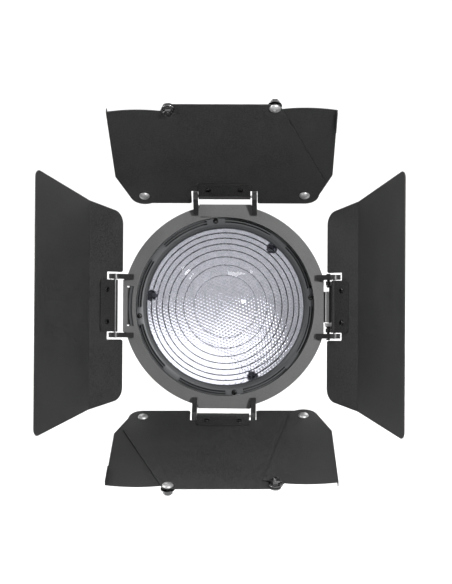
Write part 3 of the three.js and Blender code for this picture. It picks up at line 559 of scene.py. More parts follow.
def paint_slot_shade(made, inner, outer):
    """Paints the walls of slots cut between two radii black: painted shade in the slots."""
    def in_slot(at, normal):
        return inner < math.hypot(at.x, at.z) < outer and abs(normal.y) < 0.3

    repaint(made, HOUSING, in_slot)


def build_bayonet_plate():
    made = solid(tube(PLATE_BORE, PLATE_RADIUS, 0, PLATE_THICK))
    for middle in CLAW_ANGLES:
        start = middle - CLAW_STEM_HALF
        stem = sector(CLAW_INNER, CLAW_OUTER, start, middle + CLAW_STEM_HALF, CLAW_REAR, 1, 12)
        claw = sector(CLAW_INNER, CLAW_OUTER, start, middle + CLAW_END, CLAW_REAR, CLAW_FRONT, 12)
        fuse(made, stem, claw)
    hole = prism(circle(0, 0, 1.7), -1, PLATE_THICK + 1)
    spots = [turn_z(angle) @ shift(PLATE_SCREW_CIRCLE, 0, 0) for angle in PLATE_SCREW_ANGLES]
    carve(made, *[moved(hole, spot) for spot in spots])
    finish_piece(made, "bayonet_plate_machined", "housing", HOUSING, None, 0.35, ("bayonet_plate",))
    for k, angle in enumerate(PLATE_SCREW_ANGLES):
        rear = turn_z(angle) @ shift(PLATE_SCREW_CIRCLE, 0, -0.1) @ Matrix.Rotation(math.pi, 4, "X")
        cross_screw(f"rear_plate_screw_{k + 1}", "housing", rear, PLATE_SCREW)


def build_rear_shell():
    """Cone with a seat for the barrel and a row of air slots."""
    profile = [(SHELL_HOLE, SHELL_REAR), (77, SHELL_REAR, 2), (SHELL_RADIUS, 33, 6)]
    profile += [(SHELL_RADIUS, SHELL_FRONT, 0.8), (SHELL_SEAT, SHELL_FRONT), (SHELL_SEAT, 33.5)]
    profile += [(SHELL_BORE, 33.5), (SHELL_BORE, 31), (74.5, 7), (SHELL_HOLE, 7)]
    made = solid(lathe(rounded(profile)))
    near, far, half = 15, 25, 2.5
    corners = [(near, -half), (far, -half), (far, half), (near, half)]
    outline = rounded([(*corner, 2.4) for corner in corners])
    radial = moved(prism(outline, 80, 104), Matrix.Rotation(math.pi / 2, 4, "Y"))
    step = 360 / SHELL_SLOTS
    carve(made, *[moved(radial, turn_z(step * (k + 0.5))) for k in range(SHELL_SLOTS)])
    shell = finish_piece(made, "rear_shell_turned", "housing", HOUSING, None, 0.3, ("rear_shell",))
    line_inside(shell, 98)


def screw_holes():
    """Holes of the bezel screws, long enough for the bezel and the barrel's flange."""
    hole = prism(circle(0, 0, SCREW_HOLE, 20), RING_FRONT - 20, RING_FRONT - 5)
    return [moved(hole, turn_z(angle) @ shift(BEZEL_SCREW_CIRCLE, 0, 0)) for angle in BEZEL_SCREW_ANGLES]


def build_barrel():
    """Tube with a shallow groove near its rear end and the inner flange that carries the bezel."""
    front, flange_front, flange_rear = RING_FRONT - 6.9, RING_FRONT - 13, RING_FRONT - 17
    groove = BARREL_RADIUS - 0.4
    profile = [
        (BARREL_BORE, BARREL_REAR), (BARREL_RADIUS, BARREL_REAR), (BARREL_RADIUS, 46), (groove, 46.3),
        (groove, 47.3), (BARREL_RADIUS, 47.6), (BARREL_RADIUS, front), (BARREL_BORE, front),
        (BARREL_BORE, flange_front), (FLANGE_HOLE, flange_front), (FLANGE_HOLE, flange_rear),
        (BARREL_BORE, flange_rear)
    ]
    made = solid(lathe(profile))
    clearance = 3.6
    rear_end = RING_FRONT - (FOLLOWER_BACK + FOCUS_TRAVEL + clearance)
    front_end = RING_FRONT - (FOLLOWER_BACK - clearance)
    slot = box((90, 100), (-BARREL_SLOT_HALF, BARREL_SLOT_HALF), (rear_end, front_end))
    carve(made, *[moved(slot, turn_z(angle)) for angle in FOLLOWER_ANGLES], *screw_holes())
    barrel = finish_piece(made, "barrel_turned", "housing", HOUSING, None, 0.2, ("barrel",))
    line_inside(barrel, 95)


def build_front_rim():
    front, step, seat, rear = (RING_FRONT - depth for depth in (3.3, 6.3, 6.6, 12))
    profile = [(RIM_HOLE, front), (RIM_RADIUS, front), (RIM_RADIUS, step), (RIM_SKIRT, step)]
    profile += [(RIM_SKIRT, rear), (RIM_SEAT, rear), (RIM_SEAT, seat), (RIM_HOLE, seat)]
    finish_piece(solid(lathe(profile)), "front_rim_turned", "housing", TRIM, None, 0.3, ("front_rim",))


def build_bezel():
    """Retaining ring of the lens, with two slots between each pair of screws and a rib along each."""
    f = RING_FRONT
    profile = [(BEZEL_HOLE, f - 12.7), (BEZEL_RADIUS, f - 12.7), (BEZEL_RADIUS, f - 9), (87.2, f - 9)]
    profile += [(86.4, f - 9.4), (84.4, f - 10.6), (83.2, f - 11.3), (BEZEL_HOLE, f - 11.7)]
    made = solid(lathe(profile))
    slots, ribs = [], []
    for screw in BEZEL_SCREW_ANGLES:
        for start, stop in ((screw - SLOT_STOP, screw - SLOT_START), (screw + SLOT_START, screw + SLOT_STOP)):
            slots.append(sector(SLOT_INNER, SLOT_OUTER, start, stop, f - 14, f - 7))
            rib = (start - RIB_OVERLAP, stop + RIB_OVERLAP, f - 12.5, f - 9.3)
            ribs.append(sector(RIB_INNER, RIB_OUTER, *rib))
    carve(made, *slots, *screw_holes())
    finish_piece(made, "lens_bezel_turned", "housing", TRIM, None, 0.15, ("lens_bezel",))
    # The slot walls get the black finish as painted shade.
    paint_slot_shade(made, SLOT_INNER - 0.3, SLOT_OUTER + 0.3)
    finish_piece(solid(together(ribs)), "bezel_slot_ribs", "housing", TRIM, None, 0.1)
    for k, angle in enumerate(BEZEL_SCREW_ANGLES):
        place = turn_z(angle) @ shift(BEZEL_SCREW_CIRCLE, 0, f - 8.7) @ turn_z(23 + 61 * k)
        cross_screw(f"bezel_screw_cross_{k + 1}", "housing", place, BEZEL_SCREW, (f"bezel_screw_{k + 1}",))


def build_housing():
    build_bayonet_plate()
    build_rear_shell()
    build_barrel()
    build_front_rim()
    build_bezel()
    for name, (rear, front) in GLIDE_RINGS.items():
        ring = solid(tube(GLIDE_BORE, GLIDE_RADIUS, rear, front))
        finish_piece(ring, f"glide_ring_{name}_turned", "housing", TRIM, None, 0.3, (f"glide_ring_{name}",))
    keep_node("index_mark", MARK, 0.2)


# ---------- focusing ----------
def helical_slot(start):
    """Hollow of one slot of the focus ring: FOCUS_TURN of it goes back by FOCUS_TRAVEL."""
    slope = FOCUS_TRAVEL / ((FOCUS_BORE + FOCUS_RADIUS) / 2 * math.radians(FOCUS_TURN))
    half = HELIX_HALF * math.hypot(1, slope)
    inner, outer = 94, 104
    steps, overrun = 40, 4
    corners, faces = [], []
    for k in range(steps + 1):
        turn = -overrun + (FOCUS_TURN + 2 * overrun) * k / steps
        angle = math.radians(start + turn)
        z = RING_FRONT - FOLLOWER_BACK - FOCUS_TRAVEL * turn / FOCUS_TURN
        for radius, rise in ((inner, -half), (outer, -half), (outer, half), (inner, half)):
            corners.append((radius * math.cos(angle), radius * math.sin(angle), z + rise))
        if k:
            for side in range(4):
                a, b = 4 * (k - 1) + side, 4 * (k - 1) + (side + 1) % 4
                faces.append((a, b, b + 4, a + 4))
    last = 4 * steps
    faces += [(3, 2, 1, 0), (last, last + 1, last + 2, last + 3)]
    return corners, faces


def focus_grip():
    """Rubber sleeve with ribs along it, drawn in at its ends and in a groove round its middle."""
    ribs, steps, squareness = 60, 10, 0.45
    outline = []
    for k in range(ribs * steps):
        wave = math.cos(2 * math.pi * (k % steps) / steps)
        radius = GRIP_RADIUS + GRIP_RELIEF * math.copysign(abs(wave) ** squareness, wave)
        angle = 2 * math.pi * k / (ribs * steps)
        outline.append((radius * math.cos(angle), radius * math.sin(angle)))
    drawn_in = 0.985
    rear_half = [(GRIP_REAR, drawn_in), (GRIP_REAR + 0.9, 1), (124.2, 1), (125.2, drawn_in)]
    levels = rear_half + [(GRIP_REAR + GRIP_FRONT - z, scale) for z, scale in reversed(rear_half)]
    corners, faces = [], []
    for z, scale in levels:
        corners += [(x * scale, y * scale, z) for x, y in outline]
    count = len(outline)
    for z in (GRIP_FRONT, GRIP_REAR):
        corners += [(x, y, z) for x, y in circle(0, 0, GRIP_BORE, count)]
    rows = len(levels) + 2
    for row in range(rows):
        here, there = row * count, (row + 1) % rows * count
        for k in range(count):
            n = (k + 1) % count
            faces.append((here + k, here + n, there + n, there + k))
    return corners, faces


def build_focus():
    made = solid(tube(FOCUS_BORE, FOCUS_RADIUS, FOCUS_REAR, FOCUS_FRONT))
    carve(made, *[helical_slot(angle) for angle in FOLLOWER_ANGLES])
    finish_piece(made, "focus_ring_turned", "focus", TRIM, None, 0.3, ("focus_ring",))
    finish_piece(solid(focus_grip()), "focus_grip_ribbed", "focus", GRIP, None, 0, ("focus_grip",), 50)


# ---------- lens carriage ----------
def dimple(x, y):
    """Depth of the lens's back at a point: shallow round hollows packed in a hexagonal pattern."""
    row_height = DIMPLE_PITCH * math.sqrt(3)
    x, y = x * DIMPLE_COS - y * DIMPLE_SIN, x * DIMPLE_SIN + y * DIMPLE_COS
    nearest = DIMPLE_PITCH ** 2
    for offset in (0.0, 0.5):
        column = x / DIMPLE_PITCH - offset
        row = y / row_height - offset
        across = (column - round(column)) * DIMPLE_PITCH
        up = (row - round(row)) * row_height
        nearest = min(nearest, across * across + up * up)
    return DIMPLE_DEPTH * (1 - 3 * nearest / DIMPLE_PITCH ** 2)


def lens_front():
    """Half-section of the stepped front: a dome, then rings that each fall from a crest to a valley."""
    dome_steps, slope_steps = 12, 5
    section = []
    for k in range(dome_steps + 1):
        rise = LENS_DOME * (1 - (k / dome_steps) ** 2)
        section.append((LENS_RINGS[0] * k / dome_steps, LENS_VALLEY + rise))
    top = LENS_VALLEY + LENS_STEP
    for inner, outer in zip(LENS_RINGS, LENS_RINGS[1:]):
        crest = inner + 0.5
        section += [(inner + 0.1, LENS_VALLEY), (inner + 0.3, top - 0.15), (crest, top)]
        for k in range(1, slope_steps):
            t = k / slope_steps
            section.append((crest + (outer - crest) * t, top - LENS_STEP * (0.9 * t + 0.1 * t * t)))
        section.append((outer - 0.1, LENS_VALLEY))
    rim = LENS_VALLEY - 1
    return section + [(LENS_RINGS[-1], rim), (LENS_RADIUS - 0.4, rim), (LENS_RADIUS, rim - 0.4)]


def build_lens():
    segments, back_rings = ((576, 190))
    edge = [(LENS_RADIUS, LENS_BACK + 0.5), (LENS_RADIUS - 0.5, LENS_BACK)]
    reach = LENS_RADIUS - 3
    back = [(reach * (1 - k / back_rings), LENS_BACK) for k in range(back_rings + 1)]
    corners, faces = lathe(lens_front() + edge + back, segments)
    limit, fade_width = reach - 0.1, 1.5
    shaped = []
    for x, y, z in corners:
        inside = limit - math.hypot(x, y)
        if z == LENS_BACK and inside > 0:
            z += min(1.0, inside / fade_width) * dimple(x, y)
        shaped.append((x, y, z))
    made = solid((shaped, faces))
    place = shift(0, 0, RING_FRONT)
    finish_piece(made, "fresnel_lens_pressed", "carriage", GLASS, place, 0, ("fresnel_lens",), 28)


def build_carriage():
    build_lens()
    front = shift(0, 0, RING_FRONT)
    carrier = [(83.8, -13.3), (89, -13.3), (89, -17.6), (93.3, -17.6), (93.3, -40), (91, -40), (91, -26)]
    carrier += [(87.9, -26), (87.9, -14.8), (83.8, -14.8)]
    made = solid(lathe(carrier))
    finish_piece(made, "lens_carrier_turned", "carriage", HOUSING, front, 0.25, ("lens_carrier",))
    gasket = solid(tube(84.2, 87.5, -15.9, -15.1))
    finish_piece(gasket, "lens_gasket_ring", "carriage", SEAL, front, 0.15, ("lens_gasket",))
    for k, angle in enumerate(CLIP_ANGLES):
        outline = [(CLIP_ROOT, -CLIP_HALF), (CLIP_ROOT, CLIP_HALF)] + arc(CLIP_TIP, 0, CLIP_HALF, 90, 270, 20)
        clip = solid(prism(outline, -27.6, -26.3))
        fuse(clip, prism(circle(73, 0, 2.5), -27, -21.5))
        place = front @ turn_z(angle)
        finish_piece(clip, f"lens_clip_bent_{k + 1}", "carriage", ZINC, place, 0.2, (f"lens_clip_{k + 1}",))
    for k, angle in enumerate(FOLLOWER_ANGLES):
        profile = [(0, 93.6), (2.3, 93.6), (2.5, 93.8), (2.5, 99.8), (2.1, 100.2), (0, 100.2)]
        place = shift(0, 0, RING_FRONT - FOLLOWER_BACK) @ turn_z(angle) @ Matrix.Rotation(math.pi / 2, 4, "Y")
        pin = solid(lathe(profile, SMALL))
        stands_for = (f"cam_follower_{k + 1}",)
        finish_piece(pin, f"cam_follower_turned_{k + 1}", "carriage", BRIGHT, place, 0, stands_for)


# ---------- barn-door frame ----------
def build_ring():
    outline = []
    edge_angle = math.degrees(math.asin(TAB_HALF / RING_RADIUS))
    for turn in (0, 90, 180, 270):
        reach = LATCH_TAB_REACH if turn == 270 else TAB_REACH
        for across in (TAB_HALF, -TAB_HALF):
            corner = turn_z(turn) @ Vector((across, reach, 0))
            outline.append((corner.x, corner.y))
        outline += arc(0, 0, RING_RADIUS, turn + 90 + edge_angle, turn + 180 - edge_angle, 36)
    window_angle = math.degrees(math.asin(WINDOW_HALF / WINDOW_INNER))
    window = arc(0, 0, WINDOW_INNER, 180 - window_angle, 180 + window_angle, 20)
    window += [(-WINDOW_OUTER, -WINDOW_HALF), (-WINDOW_OUTER, WINDOW_HALF)]
    made = solid(prism(outline, -RING_THICK, 0, [circle(0, 0, RING_HOLE, FINE), window]))
    along = (-TONGUE_HALF, TONGUE_HALF)
    upright = box((-TONGUE_OUTER, -102.2), along, (TONGUE_BACK, -0.5))
    hook = box((-TONGUE_OUTER, -99), along, (TONGUE_BACK, -6.9))
    fuse(made, upright, hook)
    place = shift(0, 0, RING_FRONT)
    finish_piece(made, "barndoor_ring_pressed", "barndoor", RING_PAINT, place, 0.35, ("barndoor_ring",))


def ear(start, stop, latch_side):
    """Hinge ear that holds the pin; those beside the latch hold the lever's screws too."""
    latch_edge = [(LATCH_OUT + 4.4, -1.5), (LATCH_OUT + 4.8, LATCH_FORWARD)]
    outline = [(EAR_FOOT, 0.3), (EAR_WRAP, 0.3), (EAR_WRAP, EAR_BACK), (EAR_EDGE, EAR_BACK)]
    outline += latch_edge if latch_side else [(EAR_EDGE, -RING_THICK)]
    outline += arc(PIN_OUT, PIN_FORWARD, EAR_BOSS, -25, 155, 28) + [(EAR_FOOT, 5)]
    holes = [circle(PIN_OUT, PIN_FORWARD, PIN_RADIUS + 0.4)]
    if latch_side:
        holes.append(circle(LATCH_OUT, LATCH_FORWARD, LATCH_HOLE))
    return slab(outline, start, stop, holes)


def build_hinges():
    for side in LEAVES:
        place = side_place(side)
        if side == "right":
            for name, start in (("upper", -EAR_OUTER), ("lower", EAR_INNER)):
                made = solid(ear(start, start + EAR_OUTER - EAR_INNER, True))
                node = f"hinge_ear_right_{name}"
                finish_piece(made, f"{node}_milled", "barndoor", HINGE_PAINT, place, 0.4, (node,))
        else:
            made = solid(ear(EAR_INNER, EAR_OUTER, False))
            bar = box((-EAR_OUTER, EAR_OUTER), (EAR_WRAP, EAR_EDGE), (EAR_BACK, -3.3))
            fuse(made, ear(-EAR_OUTER, -EAR_INNER, False), bar)
            node = f"hinge_bracket_{side}"
            finish_piece(made, f"{node}_milled", "barndoor", HINGE_PAINT, place, 0.4, (node,))
        end = PIN_HALF - 0.4
        profile = [(0, -PIN_HALF), (PIN_TIP, -PIN_HALF), (PIN_RADIUS, -end)]
        profile += [(PIN_RADIUS, end), (PIN_TIP, PIN_HALF), (0, PIN_HALF)]
        pin_place = place @ shift(0, PIN_OUT, PIN_FORWARD) @ Matrix.Rotation(math.pi / 2, 4, "Y")
        pin = solid(lathe(profile, SMALL))
        node = f"hinge_pin_{side}"
        finish_piece(pin, f"{node}_turned", "barndoor", BRIGHT, pin_place, 0, (node,))


def helix_tube(radius, pitch, turns, wire):
    """Coil of round wire along x."""
    steps, sides = 90, 10
    along = Vector((1, 0, 0))
    corners, faces = [], []
    for k in range(steps + 1):
        angle = 2 * math.pi * turns * k / steps
        out = Vector((0, math.cos(angle), math.sin(angle)))
        centre = Vector((pitch * turns * k / steps, 0, 0)) + out * radius
        for j in range(sides):
            around = 2 * math.pi * j / sides
            corners.append(centre + (out * math.cos(around) + along * math.sin(around)) * wire)
        if k:
            for j in range(sides):
                a, b = (k - 1) * sides + j, (k - 1) * sides + (j + 1) % sides
                faces.append((a, b, b + sides, a + sides))
    last = steps * sides
    faces += [tuple(range(sides)), tuple(range(last + sides - 1, last - 1, -1))]
    return corners, faces


def build_latch():
    place = side_place("right")
    pad_face = [(-PAD_HALF, PAD_INNER, 0.8), (PAD_HALF, PAD_INNER, 0.8)]
    pad_face += [(PAD_HALF, PAD_OUTER), (-PAD_HALF, PAD_OUTER)]
    lever = solid(prism(rounded(pad_face), -12, 1))
    # The pad gets the lighter copy of the ring paint as painted light.
    finish_piece(lever, "latch_pad_bent", "latch", PAD_PAINTED_LIGHT, place, 0.3, ("latch_lever",))
    lug = [(106.4, -3), (110.9, -3)] + arc(LATCH_OUT, LATCH_FORWARD, 2.9, -20, 200, 20)
    # The hanger is black, as the lever's back plate is; its black also paints the shade between pad and
    # knuckle.
    hanger = solid(box((-HANGER_HALF, HANGER_HALF), (109.4, 112.4), (-14, -2)))
    fuse(hanger, slab(lug, -HANGER_HALF, -HANGER_LUG), slab(lug, HANGER_LUG, HANGER_HALF))
    hole = circle(LATCH_OUT, LATCH_FORWARD, LATCH_HOLE)
    carve(hanger, slab(hole, -28, -21), slab(hole, 21, 28))
    finish_piece(hanger, "latch_hanger_bent", "latch", HOUSING, place, 0.3)
    claw = solid(box((-PAD_HALF, PAD_HALF), (99, 105.6), (-8.6, -6.9)))
    finish_piece(claw, "latch_claw_bent", "latch", HOUSING, place, 0.3)
    wire = helix_tube(radius=3.6, pitch=1.3, turns=3, wire=0.45)
    coil = solid(moved(wire, shift(16.9, LATCH_OUT, LATCH_FORWARD)))
    finish_piece(coil, "latch_spring_coil", "latch", BRIGHT, place, 0, ("latch_spring",), 60)
    for name, side in (("upper", -1), ("lower", 1)):
        axis = place @ shift(0, LATCH_OUT, LATCH_FORWARD) @ Matrix.Rotation(side * math.pi / 2, 4, "Y")
        profile = [(0, 20.2), (1.5, 20.2), (1.5, 33.5), (2.3, 33.5), (2.3, 34.1), (1.7, 34.8), (0, 34.8)]
        screw = solid(lathe(profile, SMALL))
        fuse(screw, prism(circle(0, 0, 2.6, 6), 20.4, 21.8))
        node = f"latch_pivot_screw_{name}"
        finish_piece(screw, f"{node}_turned", "barndoor", BLACK_STEEL, axis, 0.1, (node,))


# ---------- leaves ----------
def mirrored(points):
    """Other half of an outline that is the same on both sides of x = 0."""
    return [(-point[0], *point[1:]) for point in reversed(points)]


def notched_edge(half, depth):
    """Inner edge, from the left notch to the right one: two notches clear the hinge's ears."""
    right = [(NOTCH_START, NOTCH_EDGE), (NOTCH_START, depth, 0.8)]
    right += [(half, depth, 0.8), (half, LEAF_INNER, 2.5)]
    return mirrored(right) + right


def tangent_angle(point, side):
    """Where a line from an outer point touches the round corner about the rivet, in degrees."""
    away = Vector(point) - Vector(RIVET)
    turn = math.acos(CORNER_RADIUS / away.length)
    return math.degrees(math.atan2(away.y, away.x) + side * turn)


def wide_leaf():
    right = arc(*RIVET, CORNER_RADIUS, -90, tangent_angle(SHOULDER, -1), 16)
    right += [(*SHOULDER, 4), (LEAF_TIP_HALF, LEAF_OUTER, 1.5)]
    outline = rounded(notched_edge(*WIDE_NOTCH) + right + mirrored(right))
    holes = [circle(side * RIVET[0], RIVET[1], RIVET_HOLE) for side in (-1, 1)]
    holes += [circle(side * STOP[0], STOP[1], STOP_HOLE) for side in (-1, 1)]
    return prism(outline, -SHEET, SHEET, holes)


def flap_shape():
    """A flap of the +x side in the leaf's frame, and its finger lip, which points towards -z."""
    outline = arc(*RIVET, FLAP_RADIUS, FLAP_OUTER_ANGLE, FLAP_INNER_ANGLE, 40)
    outer_end, inner_end = outline[0], outline[-1]
    inner_tangent = tangent_angle(inner_end, 1) - 360
    outline += arc(*RIVET, CORNER_RADIUS, inner_tangent, tangent_angle(FLAP_CORNER, -1), 24)
    outline.append((*FLAP_CORNER, 2))
    sheet = prism(rounded(outline), FLAP_NEAR, FLAP_FAR, [circle(*RIVET, RIVET_HOLE)])
    along = (Vector(FLAP_CORNER) - Vector(outer_end)).normalized()
    lip = box((-1, 0), (-30, 0), (-3, FLAP_FAR))
    return sheet, moved(lip, shift(*outer_end, 0) @ Matrix.Rotation(math.atan2(along.x, -along.y), 4, "Z"))


def bend_sheet(edit):
    """Rolls what lies past the fold line round a bend that reaches FOLD_REACH either side of it."""
    start = FOLD_OUT - FOLD_REACH
    steps = 6
    for k in range(steps + 1):
        cut = FOLD_OUT + FOLD_REACH * (2 * k / steps - 1)
        parts = list(edit.verts) + list(edit.edges) + list(edit.faces)
        bmesh.ops.bisect_plane(edit, geom=parts, plane_co=(0, cut, 0), plane_no=(0, 1, 0), dist=1e-5)
    radius = 2 * FOLD_REACH / FOLD_ANGLE
    for vertex in edit.verts:
        past = vertex.co.y - start
        if past > 0:
            angle = min(FOLD_ANGLE, past / radius)
            straight = max(0.0, past - 2 * FOLD_REACH)
            off = vertex.co.z
            along = radius * math.sin(angle) + straight * math.cos(angle) - off * math.sin(angle)
            rise = radius * (1 - math.cos(angle)) + straight * math.sin(angle) + off * math.cos(angle)
            vertex.co.y = start + along
            vertex.co.z = rise


def folded_leaf():
    slope = (SIDE_HALF_AT_OUTER - SIDE_HALF_AT_INNER) / (SIDE_LEAF_OUTER - LEAF_INNER)
    fold_half = SIDE_HALF_AT_INNER + slope * (FOLD_OUT - LEAF_INNER)
    right = [(SIDE_HALF_AT_INNER, LEAF_INNER, 15), (fold_half, FOLD_OUT)]
    right.append((SIDE_HALF_AT_OUTER, SIDE_LEAF_OUTER, 7))
    made = solid(prism(rounded(notched_edge(*SIDE_NOTCH) + right + mirrored(right), 10), -SHEET, SHEET))
    edit = bmesh.new()
    edit.from_mesh(made.data)
    bend_sheet(edit)
    edit.to_mesh(made.data)
    edit.free()
    return made


def build_hinge_plate(side):
    corners = [(-HINGE_HALF, 0), (HINGE_HALF, 0)]
    corners += [(HINGE_HALF, HINGE_REACH, 3.5), (-HINGE_HALF, HINGE_REACH, 3.5)]
    made = solid(prism(rounded(corners), 0.9, 2.1))
    fuse(made, slab(circle(0, 0, KNUCKLE_RADIUS), -HINGE_HALF, HINGE_HALF))
    carve(made, slab(circle(0, 0, KNUCKLE_BORE), -HINGE_HALF - 1, HINGE_HALF + 1))
    place = hinge_place(side)
    body = f"{side}_leaf"
    finish_piece(made, f"hinge_plate_{side}_rolled", body, HINGE_PAINT, place, 0.35, (f"hinge_plate_{side}",))
    for k, across in enumerate((-HINGE_SCREW_ACROSS, HINGE_SCREW_ACROSS)):
        screw_place = place @ shift(across, HINGE_SCREW_OUT, 2.15) @ turn_z(35 + 50 * k)
        cross_screw(f"hinge_screw_{side}_{k + 1}", body, screw_place, HINGE_SCREW)


def build_rivet(name, body, place, in_front):
    """Domed rivet through a leaf and a flap, which lies in front of the leaf or behind it."""
    play = 0.3
    head = (FLAP_FAR if in_front else SHEET) + play
    tail = -(SHEET if in_front else FLAP_FAR) - play
    dome = [(5.4 * math.cos(a), head + 0.35 + 2.2 * math.sin(a)) for a in (0, 0.25, 0.5, 0.75, 1.0, 1.25)]
    profile = [(0, tail - 1.4), (3.2, tail - 1.4), (3.6, tail - 1.1), (3.6, tail), (2, tail), (2, head)]
    profile += [(5.4, head), *dome, (0, head + 2.6)]
    made = solid(lathe(profile, 48))
    finish_piece(made, f"flap_rivet_{name}", body, BRIGHT, place, 0, (f"flap_pivot_{name}",), 40)


def build_stop(name, body, place):
    """Friction stop: its nut is on the flap's side of the leaf and its silver head on the other."""
    dome = [(5.7 * math.cos(a), -1.1 - 2.4 * math.sin(a)) for a in (1.3, 1.0, 0.75, 0.5, 0.25, 0)]
    head = solid(lathe([(0, -3.6), *dome, (5.7, -0.9), (1.5, -0.9), (1.5, 2.2), (0, 2.2)], 48))
    carve(head, prism(circle(0, 0, 1.7, 6), -4, -2.3))
    finish_piece(head, f"flap_stop_head_{name}", body, BRIGHT, place, 0.12, (f"flap_stop_{name}",))
    washer = [(0, 2.3), (7, 2.3), (7, 3.1), (6.7, 3.4), (5.2, 3.5), (0, 3.5)]
    nut = solid(lathe(washer, 48))
    fuse(nut, prism(circle(0, 0, 4.8, 6), 3.4, 8), prism(circle(0, 0, 1.8), 7.5, 9.7))
    finish_piece(nut, f"flap_stop_nut_{name}", body, CHROME, place, 0.25)


def build_flap(side, in_front):
    """A wide leaf's flap with its rivet and stop; seen from the front, the one at -x is in front."""
    hand = "left" if (side == "top") == in_front else "right"
    name = f"{side}_{hand}"
    body = f"{side}_leaf"
    place = sheet_place(side)
    mirror = Matrix.Diagonal((-1, 1, 1, 1)) if in_front else Matrix.Diagonal((1, 1, -1, 1))
    sheet, lip = flap_shape()
    flap = fuse(solid(sheet), lip)
    stands_for = (f"flap_{name}",)
    finish_piece(flap, f"flap_{name}_pressed", f"{name}_flap", LEAF_PAINT, place @ mirror, 0.25, stands_for)
    across = -1 if in_front else 1
    build_rivet(name, body, place @ shift(across * RIVET[0], RIVET[1], 0), in_front)
    flip = Matrix() if in_front else Matrix.Rotation(math.pi, 4, "Y")
    build_stop(name, body, place @ shift(across * STOP[0], STOP[1], 0) @ flip)


def build_leaves():
    for side in LEAVES:
        build_hinge_plate(side)
        place = sheet_place(side)
        body = f"{side}_leaf"
        node = f"leaf_{side}"
        if side in ("left", "right"):
            finish_piece(folded_leaf(), f"{node}_folded", body, LEAF_PAINT, place, 0.3, (node,), 60)
            continue
        finish_piece(solid(wide_leaf()), f"{node}_pressed", body, LEAF_PAINT, place, 0.3, (node,))
        for in_front in (True, False):
            build_flap(side, in_front)


# ---------- studio ----------
def look_at(thing, target, roll):
    direction = (target - thing.location).normalized()
    turn = direction.to_track_quat("-Z", "Y").to_matrix() @ Matrix.Rotation(roll, 3, "Z")
    thing.rotation_euler = turn.to_euler()


def build_camera():
    forward, up = math.cos(CAMERA_ELEVATION), math.sin(CAMERA_ELEVATION)
    back = Vector((math.sin(CAMERA_AZIMUTH) * forward, -math.cos(CAMERA_AZIMUTH) * forward, up))
    data = bpy.data.cameras.new("camera")
    data.lens = 123.3
    data.sensor_width = 36
    data.shift_x = 0.0020
    data.shift_y = 0.0247
    camera = add_object("camera", data)
    camera.location = RING_CENTRE + back * CAMERA_DISTANCE
    look_at(camera, RING_CENTRE, CAMERA_ROLL)
    bpy.context.scene.camera = camera


def area_light(name, location, size, watts, aim, roll):
    data = bpy.data.lights.new(name, "AREA")
    data.shape = "RECTANGLE"
    data.size, data.size_y = size
    data.energy = watts
    light = add_object(name, data)
    light.location = location
    look_at(light, aim, math.radians(roll))


def build_sweep():
    """Seamless white sweep: floor, curve and back wall in one sheet."""
    curve = arc(WALL - SWEEP_BEND, FLOOR + SWEEP_BEND, SWEEP_BEND, -90, 0, 16)
    profile = [(SWEEP_FRONT, FLOOR), *curve, (WALL, SWEEP_TOP)]
    corners = [(x, y, z) for x in (-SWEEP_HALF, SWEEP_HALF) for y, z in profile]
    count = len(profile)
    faces = [(k, k + 1, k + 1 + count, k + count) for k in range(count - 1)]
    mesh = bpy.data.meshes.new("sweep")
    mesh.from_pydata(corners, [], faces)
    for face in mesh.polygons:
        face.use_smooth = True
    material, shader, here = new_material("white_sweep")
    grain = noise(material, here, 30.0, detail=3.0, roughness=0.5)
    floor_tone = ramp(material, grain, 0.4, 0.44)
    wall_tone = ramp(material, grain, 0.93, 0.95)
    split = material.node_tree.nodes.new("ShaderNodeSeparateXYZ")
    material.node_tree.links.new(here, split.inputs["Vector"])
    behind = ramp(material, split.outputs["Y"], 0.0, 1.0, start=0.1, stop=0.8)
    tone = mix_colors(material, behind, floor_tone, wall_tone)
    material.node_tree.links.new(tone, shader.inputs["Base Color"])
    shader.inputs["Roughness"].default_value = 0.9
    mesh.materials.append(material)
    sweep = add_object("sweep", mesh)


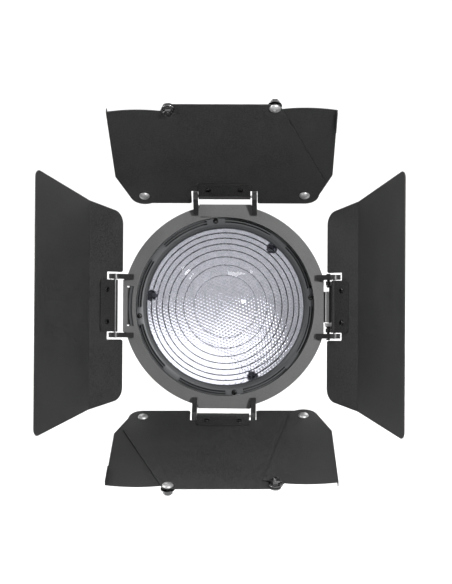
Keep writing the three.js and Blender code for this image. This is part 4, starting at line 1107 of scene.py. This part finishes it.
def build_world():
    """Soft studio light from all round, brightest overhead."""
    world = bpy.data.worlds.new("studio")
    world.use_nodes = True
    tree = world.node_tree
    place = tree.nodes.new("ShaderNodeTexCoord")
    split = tree.nodes.new("ShaderNodeSeparateXYZ")
    tree.links.new(place.outputs["Generated"], split.inputs["Vector"])
    shade = tree.nodes.new("ShaderNodeValToRGB")
    first, last = shade.color_ramp.elements
    first.position, last.position = 0.0, 0.9
    first.color = (*grey(0.38), 1)
    last.color = (*grey(1), 1)
    tree.links.new(split.outputs["Z"], shade.inputs["Fac"])
    background = tree.nodes["Background"]
    tree.links.new(shade.outputs["Color"], background.inputs["Color"])
    background.inputs["Strength"].default_value = 0.56
    bpy.context.scene.world = world


# Lights: name, place, size, power in watts, point aimed at, turn about the beam in degrees. The
# softboxes behind the head shine through its open back into the lens.
LIGHTS = (
    ("key", (0.8, -2.0, 0.28), (0.13, 0.13), 31, RING_CENTRE, 0),
    ("fill", (-1.9, -0.9, 1.0), (1.2, 1.2), 34, RING_CENTRE, 0),
    ("strip", (0.42, -1.2, 1.2), (0.8, 0.3), 3.5, RING_CENTRE, 0),
    ("floor_wash", (0, 1.5, 2.6), (2.4, 1.2), 12, Vector((0, 1.5, 0)), 0),
    ("wall_left", (-3.4, 0.9, 1.9), (1.56, 2.5), 31, Vector((0.1, WALL, 0.6)), 0),
    ("wall_right", (3.4, 0.9, 2.2), (1.56, 2.5), 37, Vector((0.3, WALL, 0.9)), 0),
    ("wall_high", (1.4, 1.8, 3.1), (1.25, 0.95), 28, Vector((0.9, WALL, 1.4)), 0),
    ("softbox_right", (0.78, WALL - 0.1, 0.9), (3.12, 1.8), 47, Vector((0.78, 0, 0.9)), 45),
    ("softbox_left", (-0.64, WALL - 0.14, 0.56), (0.44, 0.25), 3.2, Vector((-0.64, 0, 0.56)), 41),
)


def build_light():
    build_world()
    for light in LIGHTS:
        area_light(*light)
    bpy.context.scene.view_settings.view_transform = "Standard"


build_camera()
build_sweep()
build_light()
build_housing()
build_focus()
build_carriage()
build_ring()
build_hinges()
build_latch()
build_leaves()
